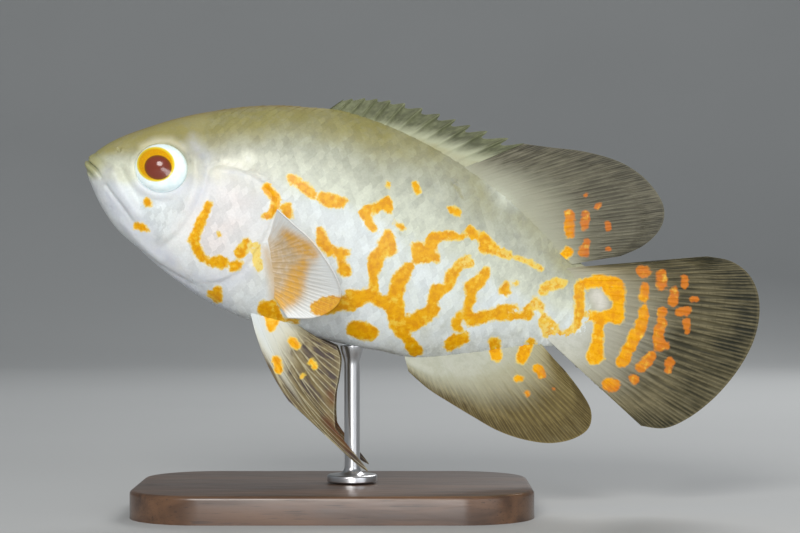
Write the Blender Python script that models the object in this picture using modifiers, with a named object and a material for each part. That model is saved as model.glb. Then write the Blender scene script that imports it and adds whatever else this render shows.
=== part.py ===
# A life-size albino tiger oscar fish, about 15 cm long, on a plain display stand.
# Every shape of the fish is laid out in the fish's own frame: u runs from the snout to the tail,
# v runs up from the snout's level, y is across. The fish then tilts head up on its stand.
import math

import bmesh
import bpy
from mathutils import Matrix, Vector

MM = 0.001
GAP = 0.3 * MM  # clearance kept between neighbouring pieces
WELD = 0.002 * MM  # points closer than this after a cut become one

# Pose and stand
HEAD_UP = math.radians(15)
SNOUT_X = -54 * MM
SNOUT_Z = 75.5 * MM
BASE_LENGTH = 86 * MM
BASE_WIDTH = 58 * MM
BASE_HEIGHT = 6 * MM
BASE_CORNER = 16 * MM
BASE_EDGE = 0.9 * MM
ROD_X = 4 * MM
ROD_RADIUS = 1.7 * MM
ROD_FOOT_RADIUS = 5.5 * MM
ROD_FOOT_HEIGHT = 1.6 * MM
ROD_HEAD_RADIUS = 2.6 * MM
ROD_TOP_Z = 44 * MM  # inside the belly, where the body cuts the rod off

# Body stations in millimetres: u, back line, belly line, half width
BODY_STATIONS = (
    (0.3, 0.7, 0.7, 0.0),
    (0.75, 2.3, -1.2, 2.2),
    (1.7, 3.8, -3.1, 3.7),
    (3.3, 5.7, -5.5, 4.9),
    (6.0, 8.1, -8.5, 6.1),
    (10.0, 10.9, -11.8, 7.3),
    (16.0, 14.7, -15.1, 8.4),
    (23.0, 18.3, -18.4, 9.3),
    (31.0, 21.7, -21.4, 10.1),
    (40.0, 24.2, -23.3, 10.6),
    (50.0, 25.5, -23.8, 10.4),
    (60.0, 25.0, -23.5, 9.7),
    (70.0, 23.2, -23.0, 8.5),
    (80.0, 20.4, -21.4, 6.9),
    (90.0, 16.6, -18.1, 5.1),
    (99.0, 12.2, -14.4, 3.5),
    (105.0, 9.0, -12.4, 2.4),
    (108.5, 7.4, -11.7, 1.7),
)
RINGS_PER_STATION = (2, 1, 2, 2, 3, 3, 3, 3, 3, 2, 2, 2, 2, 2, 2, 2, 2)
RING_POINTS = 42
WIDEST_LEVEL = 0.53  # share of the depth, from the belly, where the body is widest
BACK_POWER = (2.15, 1.8)  # roundness of the back, on the head and on the trunk
BELLY_POWER = (2.1, 2.2)
HEAD_LENGTH = 43.0

# The mouth's line from the snout to its left corner as u, y and v, and the two lips, each a tapering roll along it
MOUTH_LINE = ((0.5, 0.0, 0.75), (0.8, 1.35, 0.62), (1.5, 2.6, 0.15), (2.7, 3.6, -0.85), (4.2, 4.4, -2.1),
              (6.2, 5.2, -3.9))
LIP_AT = 0.95  # from the line to the middle of a lip
LIP_RADII = (0.85, 0.95, 0.9, 0.7, 0.3)
LIP_SUNK = 0.3
LIP_STEPS = 8
LIP_SIDES = 8

# Low ridges of the head: their lines in the side view, half width and height.
# In turn they are the jaw's upper bone, the cheek's rear edge, the fold over the eye and the throat's edge.
HEAD_RIDGES = (
    (((7.6, -1.2), (9.6, -3.6), (12.2, -5.6), (15.6, -8.6)), 1.1, 0.6),
    (((23.4, 10.4), (25.0, 6.2), (25.0, 1.0), (23.8, -5.0), (21.9, -10.0), (19.4, -13.0)), 1.3, 0.7),
    (((10.4, 7.6), (12.6, 9.6), (16.0, 10.4), (19.8, 9.4), (22.6, 6.4)), 1.2, 0.6),
)

# Thin cuts that part the body, as lines in the side view
JAW_CUT = ((-4.0, 0.9), (0.4, 0.7), (2.2, -0.4), (4.2, -2.1), (6.2, -3.9), (9.0, -5.3), (12.5, -6.9),
           (16.0, -8.9), (18.0, -10.6), (17.6, -13.0), (16.2, -15.6), (14.0, -20.0))
HEAD_CUT = ((36.0, 32.0), (37.0, 21.0), (38.6, 12.5), (42.0, 8.8), (44.4, 4.8), (44.6, 0.6),
            (42.8, -3.6), (41.9, -8.0), (40.6, -13.0), (37.0, -17.4), (32.0, -20.2), (27.5, -30.0))
TAIL_CUT = ((99.5, 20.0), (97.6, 8.0), (97.0, 0.0), (97.6, -8.0), (99.5, -20.0))

# Gill cover: its outline, how far it stands proud and how thick the plate is
GILL_OUTLINE = ((27.3, 6.4), (30.6, 7.7), (34.6, 7.7), (38.6, 6.6), (41.6, 4.3), (42.6, 1.6), (41.9, -1.8),
                (40.9, -5.8), (39.9, -9.8), (38.2, -13.4), (35.6, -16.2), (31.6, -17.6), (27.6, -17.4),
                (24.4, -15.4), (23.9, -12.0), (25.6, -7.6), (26.6, -2.6), (26.8, 2.0))
GILL_PROUD = 0.45
GILL_THICK = 1.6

# Eye
EYE_CENTRE = (16.8, 7.0, 3.3)
EYE_RADII = (5.9, 5.15, 3.1)  # along the head, upwards and outwards
EYE_TURN = math.radians(8)  # how far it faces forward and up, as the side of the head does there
EYE_LIFT = math.radians(8)
PUPIL_AT = (-0.13, 0.03)  # the pupil's place on the ball, forward of its pole
PUPIL_SHARE = 0.46
LENS_PROUD = 0.25

# Nostril pit
NOSTRIL = (6.3, 4.7, 5.2)
NOSTRIL_RADIUS = 0.55

# Fins: least thickness of a membrane and of its edge
MEMBRANE = 0.5
EDGE = 0.42
RAY_HEIGHT = 0.5  # a ray's ridge on both faces together
SPINE_HEIGHT = 0.6
SUNK = 1.4  # how deep a fin's root runs into the body before the body cuts it back

SPINE_COUNT = 13
SPINE_ROOT_U = (46.0, 80.5)
SPINE_TIPS = ((50.5, 28.4), (56.0, 30.1), (63.0, 31.0), (72.5, 30.7), (81.0, 29.9), (90.3, 29.2))
SOFT_DORSAL_RAYS = 20
SOFT_DORSAL_ROOT_U = (81.0, 107.4)
SOFT_DORSAL_EDGE = ((90.8, 29.2), (97.0, 30.0), (104.0, 31.0), (111.2, 31.0), (116.5, 29.7), (120.6, 27.4),
                    (123.7, 24.4), (124.8, 21.2), (124.2, 17.8), (121.8, 14.2), (117.8, 11.0))
SOFT_DORSAL_WAVE = (0.9, 1.1, 0.0)  # reach to the side in millimetres, turns along the fin, start
ANAL_SPINES = 3
ANAL_RAYS = 16
ANAL_ROOT_U = (76.8, 104.6)
ANAL_EDGE = ((79.6, -25.4), (84.7, -27.9), (90.0, -29.6), (95.5, -31.2), (101.5, -32.8), (107.5, -33.3),
             (113.5, -32.6), (118.2, -30.4), (120.9, -27.2), (120.4, -23.4), (117.2, -20.0), (112.8, -16.7))
ANAL_WAVE = (-0.8, 1.0, 0.1)
TAIL_RAYS = 16
TAIL_WAVE = (1.6, 0.8, 0.55)
TAIL_ROOT = ((108.5, 5.4), (108.5, -10.8))
TAIL_EDGE = ((136.0, 15.7), (141.0, 16.1), (145.3, 14.6), (148.4, 11.4), (150.2, 6.9), (150.7, 1.8), (150.0, -3.4),
             (148.2, -8.9), (145.4, -14.4), (141.6, -19.4), (137.2, -22.9), (132.0, -23.8))
PECTORAL_RAYS = 14
PECTORAL_ROOT = ((43.3, -6.2), (48.2, -14.0))
PECTORAL_EDGE = ((43.8, 7.5, 1.2), (48.3, 9.6, -0.7), (52.8, 11.0, -2.2), (57.0, 11.6, -4.6), (60.6, 11.4, -8.0),
                 (62.2, 10.4, -12.0), (60.8, 8.8, -15.6), (57.0, 6.8, -19.0), (52.4, 4.2, -20.2))
PELVIC_RAYS = 5
PELVIC_ROOT = ((42.3, -21.6), (50.6, -22.0))
PELVIC_BOWS = (1.3, 3.4, 1.6, 0.9, 0.6, 0.4)  # how far the spine and each ray bow forward
PELVIC_ROOT_Y = 3.4
PELVIC_EDGE = ((56.2, -38.0), (76.2, -48.3), (67.6, -41.2), (66.0, -35.5), (65.4, -30.3), (63.4, -26.0))
PELVIC_SPLAY = (6.6, 8.4, 8.0, 7.4, 6.6, 5.2)

COLOURS = {
    "skin": ((0.80, 0.79, 0.72, 1), 0.45, 0.0),
    "fin": ((0.52, 0.50, 0.42, 1), 0.5, 0.0),
    "eye": ((0.85, 0.55, 0.12, 1), 0.12, 0.0),
    "steel": ((0.62, 0.62, 0.63, 1), 0.3, 1.0),
    "wood": ((0.13, 0.07, 0.04, 1), 0.4, 0.0),
}


def clear_scene():
    for old in list(bpy.data.objects):
        bpy.data.objects.remove(old, do_unlink=True)


def new_collection(name):
    made = bpy.data.collections.new(name)
    bpy.context.scene.collection.children.link(made)
    return made


def new_material(name):
    colour, roughness, metallic = COLOURS[name]
    material = bpy.data.materials.new(name)
    material.use_nodes = True
    shader = material.node_tree.nodes["Principled BSDF"]
    shader.inputs["Base Color"].default_value = colour
    shader.inputs["Roughness"].default_value = roughness
    shader.inputs["Metallic"].default_value = metallic
    material.diffuse_color = colour
    return material


def new_object(name, bm, material=None, collection=None, parent=None):
    mesh = bpy.data.meshes.new(name)
    bm.normal_update()
    bmesh.ops.recalc_face_normals(bm, faces=bm.faces)
    bm.to_mesh(mesh)
    bm.free()
    made = bpy.data.objects.new(name, mesh)
    (collection or PARTS).objects.link(made)
    made.parent = parent
    if material:
        mesh.materials.append(MATERIALS[material])
    return made


# A smooth curve through the points, read at a share from 0 to 1
def along(points, share):
    place = min(max(share, 0.0), 1.0) * (len(points) - 1)
    start = min(int(place), len(points) - 2)
    t = place - start
    before = points[max(start - 1, 0)]
    a, b = points[start], points[start + 1]
    after = points[min(start + 2, len(points) - 1)]
    return tuple(
        0.5 * (2 * q + (r - p) * t + (2 * p - 5 * q + 4 * r - s) * t**2 + (3 * q - p - 3 * r + s) * t**3)
        for p, q, r, s in zip(before, a, b, after)
    )


def mix(a, b, share):
    return a + (b - a) * share


def distance_to_line(line, u, v):
    nearest = 1e9
    for (au, av), (bu, bv) in zip(line, line[1:]):
        du, dv = bu - au, bv - av
        share = min(max(((u - au) * du + (v - av) * dv) / (du * du + dv * dv), 0.0), 1.0)
        nearest = min(nearest, math.hypot(u - au - share * du, v - av - share * dv))
    return nearest


# How far the skin rises above the plain body along the ridges of the head
def skin_rise(u, v):
    rise = 0.0
    for line, width, height in HEAD_RIDGES:
        if line[0][0] - 4 * width < u < line[-1][0] + 8 * width:
            rise += height * math.exp(-((distance_to_line(line, u, v) / width) ** 2))
    return rise


# A point of the body at a share of its length and an angle from the back, on the side y > 0 up to half a turn
def body_point(share, angle, grow=0.0):
    u, top, bottom, half = along(BODY_STATIONS, share)
    toward_tail = min(max(u / HEAD_LENGTH, 0.0), 1.0)
    power = mix(*(BACK_POWER if math.cos(angle) > 0 else BELLY_POWER), toward_tail)
    level = mix(bottom, top, WIDEST_LEVEL)
    reach = (top - level if math.cos(angle) > 0 else level - bottom) + grow
    across = abs(math.sin(angle)) ** (2 / power) * (max(half, 0.0) + grow)
    v = level + math.copysign(abs(math.cos(angle)) ** (2 / power), math.cos(angle)) * reach
    rise = skin_rise(u, v) if grow == 0.0 and u < HEAD_LENGTH else 0.0
    y = math.copysign(across, math.sin(angle)) * (1 + rise / max(half, 1.0))
    return Vector((u - rise * 0.8, y, v + rise * (v - level) / max(reach, 1.0))) * MM


# Back line, belly line and half width at one u, found along the stations
def body_at(u):
    low, high = 0.0, 1.0
    for _ in range(40):
        middle = (low + high) / 2
        if along(BODY_STATIONS, middle)[0] < u:
            low = middle
        else:
            high = middle
    return along(BODY_STATIONS, low)[1:], low


# Half width of the body at a point of its side view
def flank_y(u, v):
    (top, bottom, _), share = body_at(u)
    low, high = 0.0, math.pi
    for _ in range(30):
        middle = (low + high) / 2
        if body_point(share, middle).z / MM > v:
            low = middle
        else:
            high = middle
    return body_point(share, low).y / MM


# The whole body as one closed loft, larger all round by grow
def body_loft(name, grow=0.0, collection=None):
    bm = bmesh.new()
    intervals = len(RINGS_PER_STATION)
    shares = [(k + (j + 1) / many) / intervals for k, many in enumerate(RINGS_PER_STATION) for j in range(many)]
    rings = []
    for share in shares:
        ring = [body_point(share, math.tau * i / RING_POINTS, grow) for i in range(RING_POINTS)]
        if share == shares[-1] and grow > 0:
            ring = [p + Vector((grow * MM, 0, 0)) for p in ring]
        rings.append([bm.verts.new(p) for p in ring])
    nose = body_point(0.0, 0.0)
    nose.x -= grow * MM
    nose = bm.verts.new((nose.x, 0, BODY_STATIONS[0][1] * MM))
    for i in range(RING_POINTS):
        bm.faces.new((nose, rings[0][i], rings[0][(i + 1) % RING_POINTS]))
    for near, far in zip(rings, rings[1:]):
        for i in range(RING_POINTS):
            j = (i + 1) % RING_POINTS
            bm.faces.new((near[i], far[i], far[j], near[j]))
    bm.faces.new(rings[-1])
    return new_object(name, bm, "skin", collection or PARTS, FISH)


def make_cutter(made):
    made.display_type = "WIRE"
    made.hide_render = True
    return made


# A lip runs round the mouth from one corner to the other, a tapering roll half sunk in the skin
def lip_roll(name, above):
    middles = []
    for k in range(-LIP_STEPS, LIP_STEPS + 1):
        share = abs(k) / LIP_STEPS
        u, y, v = along(MOUTH_LINE, share)
        behind, ahead = along(MOUTH_LINE, share - 0.02), along(MOUTH_LINE, share + 0.02)
        tilt = math.atan2(ahead[2] - behind[2], ahead[0] - behind[0]) * min(1.0, 2 * share)
        radius = along(tuple((r,) for r in LIP_RADII), share)[0]
        u, v = u - above * LIP_AT * math.sin(tilt), v + above * LIP_AT * math.cos(tilt)
        if share > 0.25:
            y = max(y, flank_y(u, v))
        middles.append((Vector((u, math.copysign(y - LIP_SUNK * share, k), v)), radius))
    bm = bmesh.new()
    rings = []
    for k, (middle, radius) in enumerate(middles):
        run = (middles[min(k + 1, len(middles) - 1)][0] - middles[max(k - 1, 0)][0]).normalized()
        up = Vector((0, 0, 1))
        out = run.cross(up).normalized()
        up = out.cross(run).normalized()
        angles = [math.tau * (i + 0.37) / LIP_SIDES for i in range(LIP_SIDES)]
        rings.append([bm.verts.new((middle + (out * math.cos(a) + up * math.sin(a)) * radius) * MM) for a in angles])
    for near, far in zip(rings, rings[1:]):
        for i in range(LIP_SIDES):
            j = (i + 1) % LIP_SIDES
            bm.faces.new((near[i], near[j], far[j], far[i]))
    bm.faces.new(rings[0])
    bm.faces.new(rings[-1])
    return make_cutter(new_object(name, bm, "skin", CUTTERS, FISH))


# A thin upright sheet that follows a line of the side view, to part the body along it
def cut_sheet(name, line, steps=4):
    count = steps * (len(line) - 1)
    points = [Vector((u, 0, v)) * MM for u, v in (along(line, k / count) for k in range(count + 1))]
    reach = 30 * MM
    bm = bmesh.new()
    sides = []
    for k, point in enumerate(points):
        ahead = points[min(k + 1, count)] - points[max(k - 1, 0)]
        normal = Vector((-ahead.z, 0, ahead.x)).normalized() * (GAP / 2)
        corners = (point + normal, point - normal)
        sides.append([bm.verts.new(c + Vector((0, y, 0))) for y in (-reach, reach) for c in corners])
    for a, b in zip(sides, sides[1:]):
        for i, j in ((0, 1), (1, 3), (3, 2), (2, 0)):
            bm.faces.new((a[i], b[i], b[j], a[j]))
    for end in (sides[0], sides[-1]):
        bm.faces.new((end[0], end[1], end[3], end[2]))
    return make_cutter(new_object(name, bm, None, CUTTERS, FISH))


# An upright prism on one side of the fish, over a closed outline of the side view
def side_prism(name, outline, side, grow=0.0):
    count = 3 * len(outline)
    closed = outline[-1:] + outline + outline[:2]
    span = len(closed) - 1
    points = []
    for k in range(count):
        points.append(Vector(along(closed, (1 + k / 3) / span)))
    centre = sum(points, Vector((0, 0))) / count
    bm = bmesh.new()
    near, far = [], []
    for point in points:
        outward = (point - centre).normalized() * grow
        u, v = point + outward
        near.append(bm.verts.new(Vector((u, side * 1.5, v)) * MM))
        far.append(bm.verts.new(Vector((u, side * 20.0, v)) * MM))
    for k in range(count):
        j = (k + 1) % count
        bm.faces.new((near[k], near[j], far[j], far[k]))
    bm.faces.new(near)
    bm.faces.new(far)
    return make_cutter(new_object(name, bm, None, CUTTERS, FISH))


def boolean(made, operation, other):
    modifier = made.modifiers.new(operation.lower(), "BOOLEAN")
    modifier.operation = operation
    modifier.solver = "EXACT"
    modifier.object = other


# The object's evaluated mesh in place of its own, with the modifiers gone
def apply_modifiers(made):
    bpy.context.view_layer.update()
    evaluated = made.evaluated_get(bpy.context.evaluated_depsgraph_get())
    mesh = bpy.data.meshes.new_from_object(evaluated)
    made.modifiers.clear()
    made.data = mesh
    return made


def islands(bm):
    left = set(bm.verts)
    found = []
    while left:
        seed = left.pop()
        island, edge = {seed}, [seed]
        while edge:
            for link in edge.pop().link_edges:
                for vert in link.verts:
                    if vert in left:
                        left.discard(vert)
                        island.add(vert)
                        edge.append(vert)
        found.append(island)
    return found


def size_of(island):
    faces = {face for vert in island for face in vert.link_faces}
    return sum(face.calc_area() for face in faces)


def keep_largest(made):
    bm = bmesh.new()
    bm.from_mesh(made.data)
    bmesh.ops.remove_doubles(bm, verts=bm.verts, dist=WELD)
    best = max(islands(bm), key=size_of)
    bmesh.ops.delete(bm, geom=[v for v in bm.verts if v not in best], context="VERTS")
    bm.to_mesh(made.data)
    bm.free()
    return made


def shade(made):
    made.data.shade_smooth()
    made.data.set_sharp_from_angle(angle=math.radians(35))
    return made


def cut(made, *cutters, operation="DIFFERENCE"):
    for other in cutters:
        boolean(made, operation, other)
    return shade(keep_largest(apply_modifiers(made)))


# The body parted by the thin cuts, each length taken as the loose piece that holds a point of it
def part_body():
    whole = body_loft("whole_body")
    for name, above in (("upper_lip", 1), ("lower_lip", -1)):
        boolean(whole, "UNION", lip_roll(name, above))
    sheets = [cut_sheet("cut_jaw", JAW_CUT), cut_sheet("cut_head", HEAD_CUT), cut_sheet("cut_tail", TAIL_CUT)]
    for sheet in sheets:
        boolean(whole, "DIFFERENCE", sheet)
    apply_modifiers(whole)
    bm = bmesh.new()
    bm.from_mesh(whole.data)
    found = sorted(islands(bm), key=size_of, reverse=True)[:4]
    middles = [sum((v.co for v in island), Vector()) / len(island) for island in found]
    named = {}
    for name, u, v in (("lower_jaw", 8.0, -9.0), ("head", 20.0, 5.0), ("trunk", 70.0, 0.0), ("tail_stalk", 103.0, -2.0)):
        aim = Vector((u, 0, v)) * MM
        named[name] = min(range(len(found)), key=lambda k: (middles[k] - aim).length)
    made = {}
    for name, k in named.items():
        piece = bm.copy()
        keep = {v.index for v in found[k]}
        piece.verts.index_update()
        bmesh.ops.delete(piece, geom=[v for v in piece.verts if v.index not in keep], context="VERTS")
        made[name] = shade(new_object(name, piece, "skin", PARTS, FISH))
    bm.free()
    bpy.data.objects.remove(whole)
    return made


# A gill cover is a raised plate set in a recess of the head
def make_gill_cover(head, name, side):
    core = make_cutter(body_loft(f"{name}_core", -GILL_THICK, CUTTERS))
    deeper = make_cutter(body_loft(f"{name}_deeper", -GILL_THICK - GAP / MM, CUTTERS))
    plate = body_loft(name, GILL_PROUD)
    cut(plate, side_prism(f"{name}_outline", GILL_OUTLINE, side), operation="INTERSECT")
    cut(plate, core)
    recess = side_prism(f"{name}_recess", GILL_OUTLINE, side, GAP / MM)
    boolean(recess, "DIFFERENCE", deeper)
    make_cutter(keep_largest(apply_modifiers(recess)))
    cut(head, recess)
    return plate


# The eyeball is a flattened ball that faces out, a little forward and up, with a raised lens over the pupil
def eye_mesh(side, grow=0.0):
    bm = bmesh.new()
    bmesh.ops.create_uvsphere(bm, u_segments=20, v_segments=14, radius=1.0)
    along_head, upwards, outwards = EYE_RADII
    turn = Matrix.Rotation(EYE_TURN, 3, "Z") @ Matrix.Rotation(EYE_LIFT, 3, "X")
    u, y, v = EYE_CENTRE
    for vert in bm.verts:
        across, up, out = vert.co
        from_pupil = math.hypot(across - PUPIL_AT[0], up - PUPIL_AT[1])
        lens = LENS_PROUD * max(0.0, 1 - (from_pupil / PUPIL_SHARE) ** 4) if out > 0 and grow == 0 else 0.0
        place = turn @ Vector((across * (along_head + grow), out * (outwards + grow) + lens, up * (upwards + grow)))
        vert.co = Vector((u + place.x, side * (y + place.y), v + place.z)) * MM
    return bm


def make_eye(head, name, side):
    socket = make_cutter(new_object(f"{name}_socket", eye_mesh(side, GAP / MM), None, CUTTERS, FISH))
    cut(head, socket)
    return shade(new_object(name, eye_mesh(side), "eye", PARTS, FISH))


def make_nostril(head, name, side):
    bm = bmesh.new()
    bmesh.ops.create_icosphere(bm, subdivisions=2, radius=NOSTRIL_RADIUS * MM)
    u, _, v = NOSTRIL
    at = Vector((u, side * flank_y(u, v), v)) * MM
    bmesh.ops.translate(bm, vec=at, verts=bm.verts)
    cut(head, make_cutter(new_object(name, bm, None, CUTTERS, FISH)))


# A fin is a sheet from its root to its edge, thick where its rays stand on the membrane.
# root and edge give a point in millimetres at a share along the fin, and ridge the ray's height there.
# bows bend the rays forward in the fin's own plane, and wave bends the fin gently from side to side.
def make_fin(name, root, edge, columns, rows, ridge, base_thick, bows=(0.0, 0.0), wave=(0.0, 0.0, 0.0)):
    bm = bmesh.new()
    bmesh.ops.create_grid(bm, x_segments=columns, y_segments=rows, size=0.5)
    thick = {}
    for vert in bm.verts:
        share = vert.co.x + 0.5
        out = vert.co.y + 0.5
        start, end = Vector(root(share)), Vector(edge(share))
        flesh = max(0.0, 1 - out / 0.45) ** 1.5 * (base_thick - MEMBRANE)
        thin = mix(MEMBRANE, EDGE, out**2)
        height = ridge(share) * min(1.0, (1 - out) * 4 + 0.25)
        ray = end - start
        bow = along(tuple((b,) for b in bows), share)[0]
        forward = Vector((ray.z, 0, -ray.x)).normalized() * (4 * bow * out * (1 - out))
        reach, turns, start_turn = wave
        forward.y = reach * out**2 * math.sin(math.tau * (turns * share + start_turn))
        vert.co = (start.lerp(end, out) + forward) * MM
        thick[vert.index] = thin + flesh + height
    bmesh.ops.triangulate(bm, faces=bm.faces)
    made = new_object(name, bm, "fin", PARTS, FISH)
    most = max(thick.values())
    group = made.vertex_groups.new(name="thickness")
    for index, value in thick.items():
        group.add([index], value / most, "REPLACE")
    modifier = made.modifiers.new("thickness", "SOLIDIFY")
    modifier.thickness = most * MM
    modifier.offset = 0
    modifier.vertex_group = "thickness"
    modifier.use_even_offset = False
    return shade(apply_modifiers(made))


# Ridges: one for each ray, highest in the middle column of the ray
def ray_ridge(rays, height):
    def ridge(share):
        return height * max(0.0, math.cos(math.tau * (share * rays - 0.5)))
    return ridge


def back_point(u, sunk=SUNK):
    (top, _, _), _ = body_at(u)
    return (u + sunk * 0.4, 0.0, top - sunk)


def belly_point(u, sunk=SUNK):
    (_, bottom, _), _ = body_at(u)
    return (u, 0.0, bottom + sunk)


def side_edge(points):
    def edge(share):
        u, v = along(points, share)
        return (u, 0.0, v)
    return edge


# The front of the dorsal fin: hard spines that stand clear of the notched membrane between them
def make_spiny_dorsal(grown):
    def root(share):
        return back_point(mix(*SPINE_ROOT_U, share))

    def edge(share):
        u, v = along(SPINE_TIPS, share)
        u0, _, v0 = root(share)
        phase = share * (SPINE_COUNT - 1) % 1.0
        cut_back = 0.30 * math.sin(math.pi * phase) ** 0.7 if 0.01 < phase < 0.99 else 0.0
        return (mix(u, u0, cut_back), 0.0, mix(v, v0, cut_back))

    def ridge(share):
        return SPINE_HEIGHT * max(0.0, math.cos(math.tau * share * (SPINE_COUNT - 1)))

    made = make_fin("dorsal_fin_spiny", root, edge, 4 * (SPINE_COUNT - 1), 4, ridge, 1.6)
    return cut(made, grown)


def make_soft_dorsal(grown):
    def root(share):
        return back_point(mix(*SOFT_DORSAL_ROOT_U, share))

    made = make_fin("dorsal_fin_soft", root, side_edge(SOFT_DORSAL_EDGE), 2 * SOFT_DORSAL_RAYS, 6,
                    ray_ridge(SOFT_DORSAL_RAYS, RAY_HEIGHT), 2.4, wave=SOFT_DORSAL_WAVE)
    return cut(made, grown)


def make_anal_fin(grown):
    def root(share):
        return belly_point(mix(*ANAL_ROOT_U, share))

    rays = ANAL_SPINES + ANAL_RAYS
    made = make_fin("anal_fin", root, side_edge(ANAL_EDGE), 2 * rays, 6, ray_ridge(rays, RAY_HEIGHT), 2.4, wave=ANAL_WAVE)
    return cut(made, grown)


def make_tail_fin(grown):
    def root(share):
        u, v = along(TAIL_ROOT, share)
        return (u - SUNK, 0.0, v)

    made = make_fin("tail_fin", root, side_edge(TAIL_EDGE), 2 * TAIL_RAYS, 8, ray_ridge(TAIL_RAYS, RAY_HEIGHT), 2.6,
                    wave=TAIL_WAVE)
    return cut(made, grown)


def make_pectoral_fin(name, side, grown):
    def root(share):
        u, v = along(PECTORAL_ROOT, share)
        return (u, side * (flank_y(u, v) - SUNK), v)

    def edge(share):
        u, out, v = along(PECTORAL_EDGE, share)
        start, _ = along(PECTORAL_ROOT, share)
        return (u, side * (flank_y(start, v) + out), v)

    made = make_fin(name, root, edge, 2 * PECTORAL_RAYS, 5, ray_ridge(PECTORAL_RAYS, 0.3), 1.3)
    return cut(made, grown)


def make_pelvic_fin(name, side, grown):
    splay = tuple((y,) for y in PELVIC_SPLAY)

    def root(share):
        u, v = along(PELVIC_ROOT, share)
        return (u, side * PELVIC_ROOT_Y, v + SUNK)

    def edge(share):
        u, v = along(PELVIC_EDGE, share)
        return (u, side * along(splay, share)[0], v)

    def ridge(share):
        return RAY_HEIGHT * max(0.0, math.cos(math.tau * share * PELVIC_RAYS))

    made = make_fin(name, root, edge, 4 * PELVIC_RAYS, 7, ridge, 1.7, PELVIC_BOWS)
    return cut(made, grown)


# The stand: a flat base with round corners, and one turned rod up to the belly
def make_base():
    bpy.ops.mesh.primitive_cube_add(size=1, location=(0, 0, BASE_HEIGHT / 2))
    base = bpy.context.object
    base.name = base.data.name = "stand_base"
    base.data.transform(base.matrix_basis)
    base.location = (0, 0, 0)
    for vert in base.data.vertices:
        vert.co.x *= BASE_LENGTH
        vert.co.y *= BASE_WIDTH
        vert.co.z = BASE_HEIGHT if vert.co.z > BASE_HEIGHT / 2 else 0.0
    bm = bmesh.new()
    bm.from_mesh(base.data)
    upright = [e for e in bm.edges if abs(e.verts[0].co.z - e.verts[1].co.z) > GAP]
    bmesh.ops.bevel(bm, geom=upright, offset=BASE_CORNER, segments=8, profile=0.5, affect="EDGES")
    rim = [e for e in bm.edges if all(abs(v.co.z - BASE_HEIGHT) < GAP for v in e.verts)]
    bmesh.ops.bevel(bm, geom=rim, offset=BASE_EDGE, segments=2, profile=0.5, affect="EDGES")
    bm.to_mesh(base.data)
    bm.free()
    base.data.materials.append(MATERIALS["wood"])
    for home in list(base.users_collection):
        home.objects.unlink(base)
    PARTS.objects.link(base)
    return shade(base)


def make_rod(grown):
    foot = BASE_HEIGHT + GAP
    profile = (
        (0, ROD_TOP_Z), (ROD_HEAD_RADIUS, ROD_TOP_Z), (ROD_HEAD_RADIUS, ROD_TOP_Z - 8 * MM),
        (ROD_RADIUS, ROD_TOP_Z - 12 * MM), (ROD_RADIUS, foot + ROD_FOOT_HEIGHT + ROD_RADIUS),
        (ROD_RADIUS + 0.8 * MM, foot + ROD_FOOT_HEIGHT + 0.5 * MM),
        (ROD_FOOT_RADIUS - 0.5 * MM, foot + ROD_FOOT_HEIGHT), (ROD_FOOT_RADIUS, foot + ROD_FOOT_HEIGHT - 0.5 * MM),
        (ROD_FOOT_RADIUS, foot), (0, foot),
    )
    mesh = bpy.data.meshes.new("stand_rod")
    mesh.from_pydata([(x, 0, z) for x, z in profile], [(k, k + 1) for k in range(len(profile) - 1)], [])
    rod = bpy.data.objects.new("stand_rod", mesh)
    PARTS.objects.link(rod)
    rod.location = (ROD_X, 0, 0)
    mesh.materials.append(MATERIALS["steel"])
    screw = rod.modifiers.new("turned", "SCREW")
    screw.steps = 20
    screw.render_steps = 20
    screw.use_merge_vertices = True
    screw.merge_threshold = 0.00001
    screw.use_normal_calculate = True
    return cut(rod, grown)


clear_scene()
PARTS = new_collection("oscar_fish")
CUTTERS = new_collection("cutters")
MATERIALS = {name: new_material(name) for name in COLOURS}
FISH = bpy.data.objects.new("fish_pose", None)
PARTS.objects.link(FISH)
FISH.location = (SNOUT_X, 0, SNOUT_Z)
FISH.rotation_euler = (0, HEAD_UP, 0)

body = part_body()
for side_name, side in (("left", -1), ("right", 1)):
    make_gill_cover(body["head"], f"gill_cover_{side_name}", side)
    make_eye(body["head"], f"eye_{side_name}", side)
    make_nostril(body["head"], f"nostril_{side_name}", side)
grown_body = make_cutter(body_loft("grown_body", GAP / MM, CUTTERS))
make_spiny_dorsal(grown_body)
make_soft_dorsal(grown_body)
make_anal_fin(grown_body)
make_tail_fin(grown_body)
for side_name, side in (("left", -1), ("right", 1)):
    make_pectoral_fin(f"pectoral_fin_{side_name}", side, grown_body)
    make_pelvic_fin(f"pelvic_fin_{side_name}", side, grown_body)
make_base()
make_rod(grown_body)
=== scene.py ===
# A life-size oscar fish held still on a plain display stand.
# Every shape of the fish is laid out in its own frame in millimetres, u from snout to tail, y across, v up,
# and then tilts head up with it.
import math

import bpy
import numpy as np
from mathutils import Matrix, Vector


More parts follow.
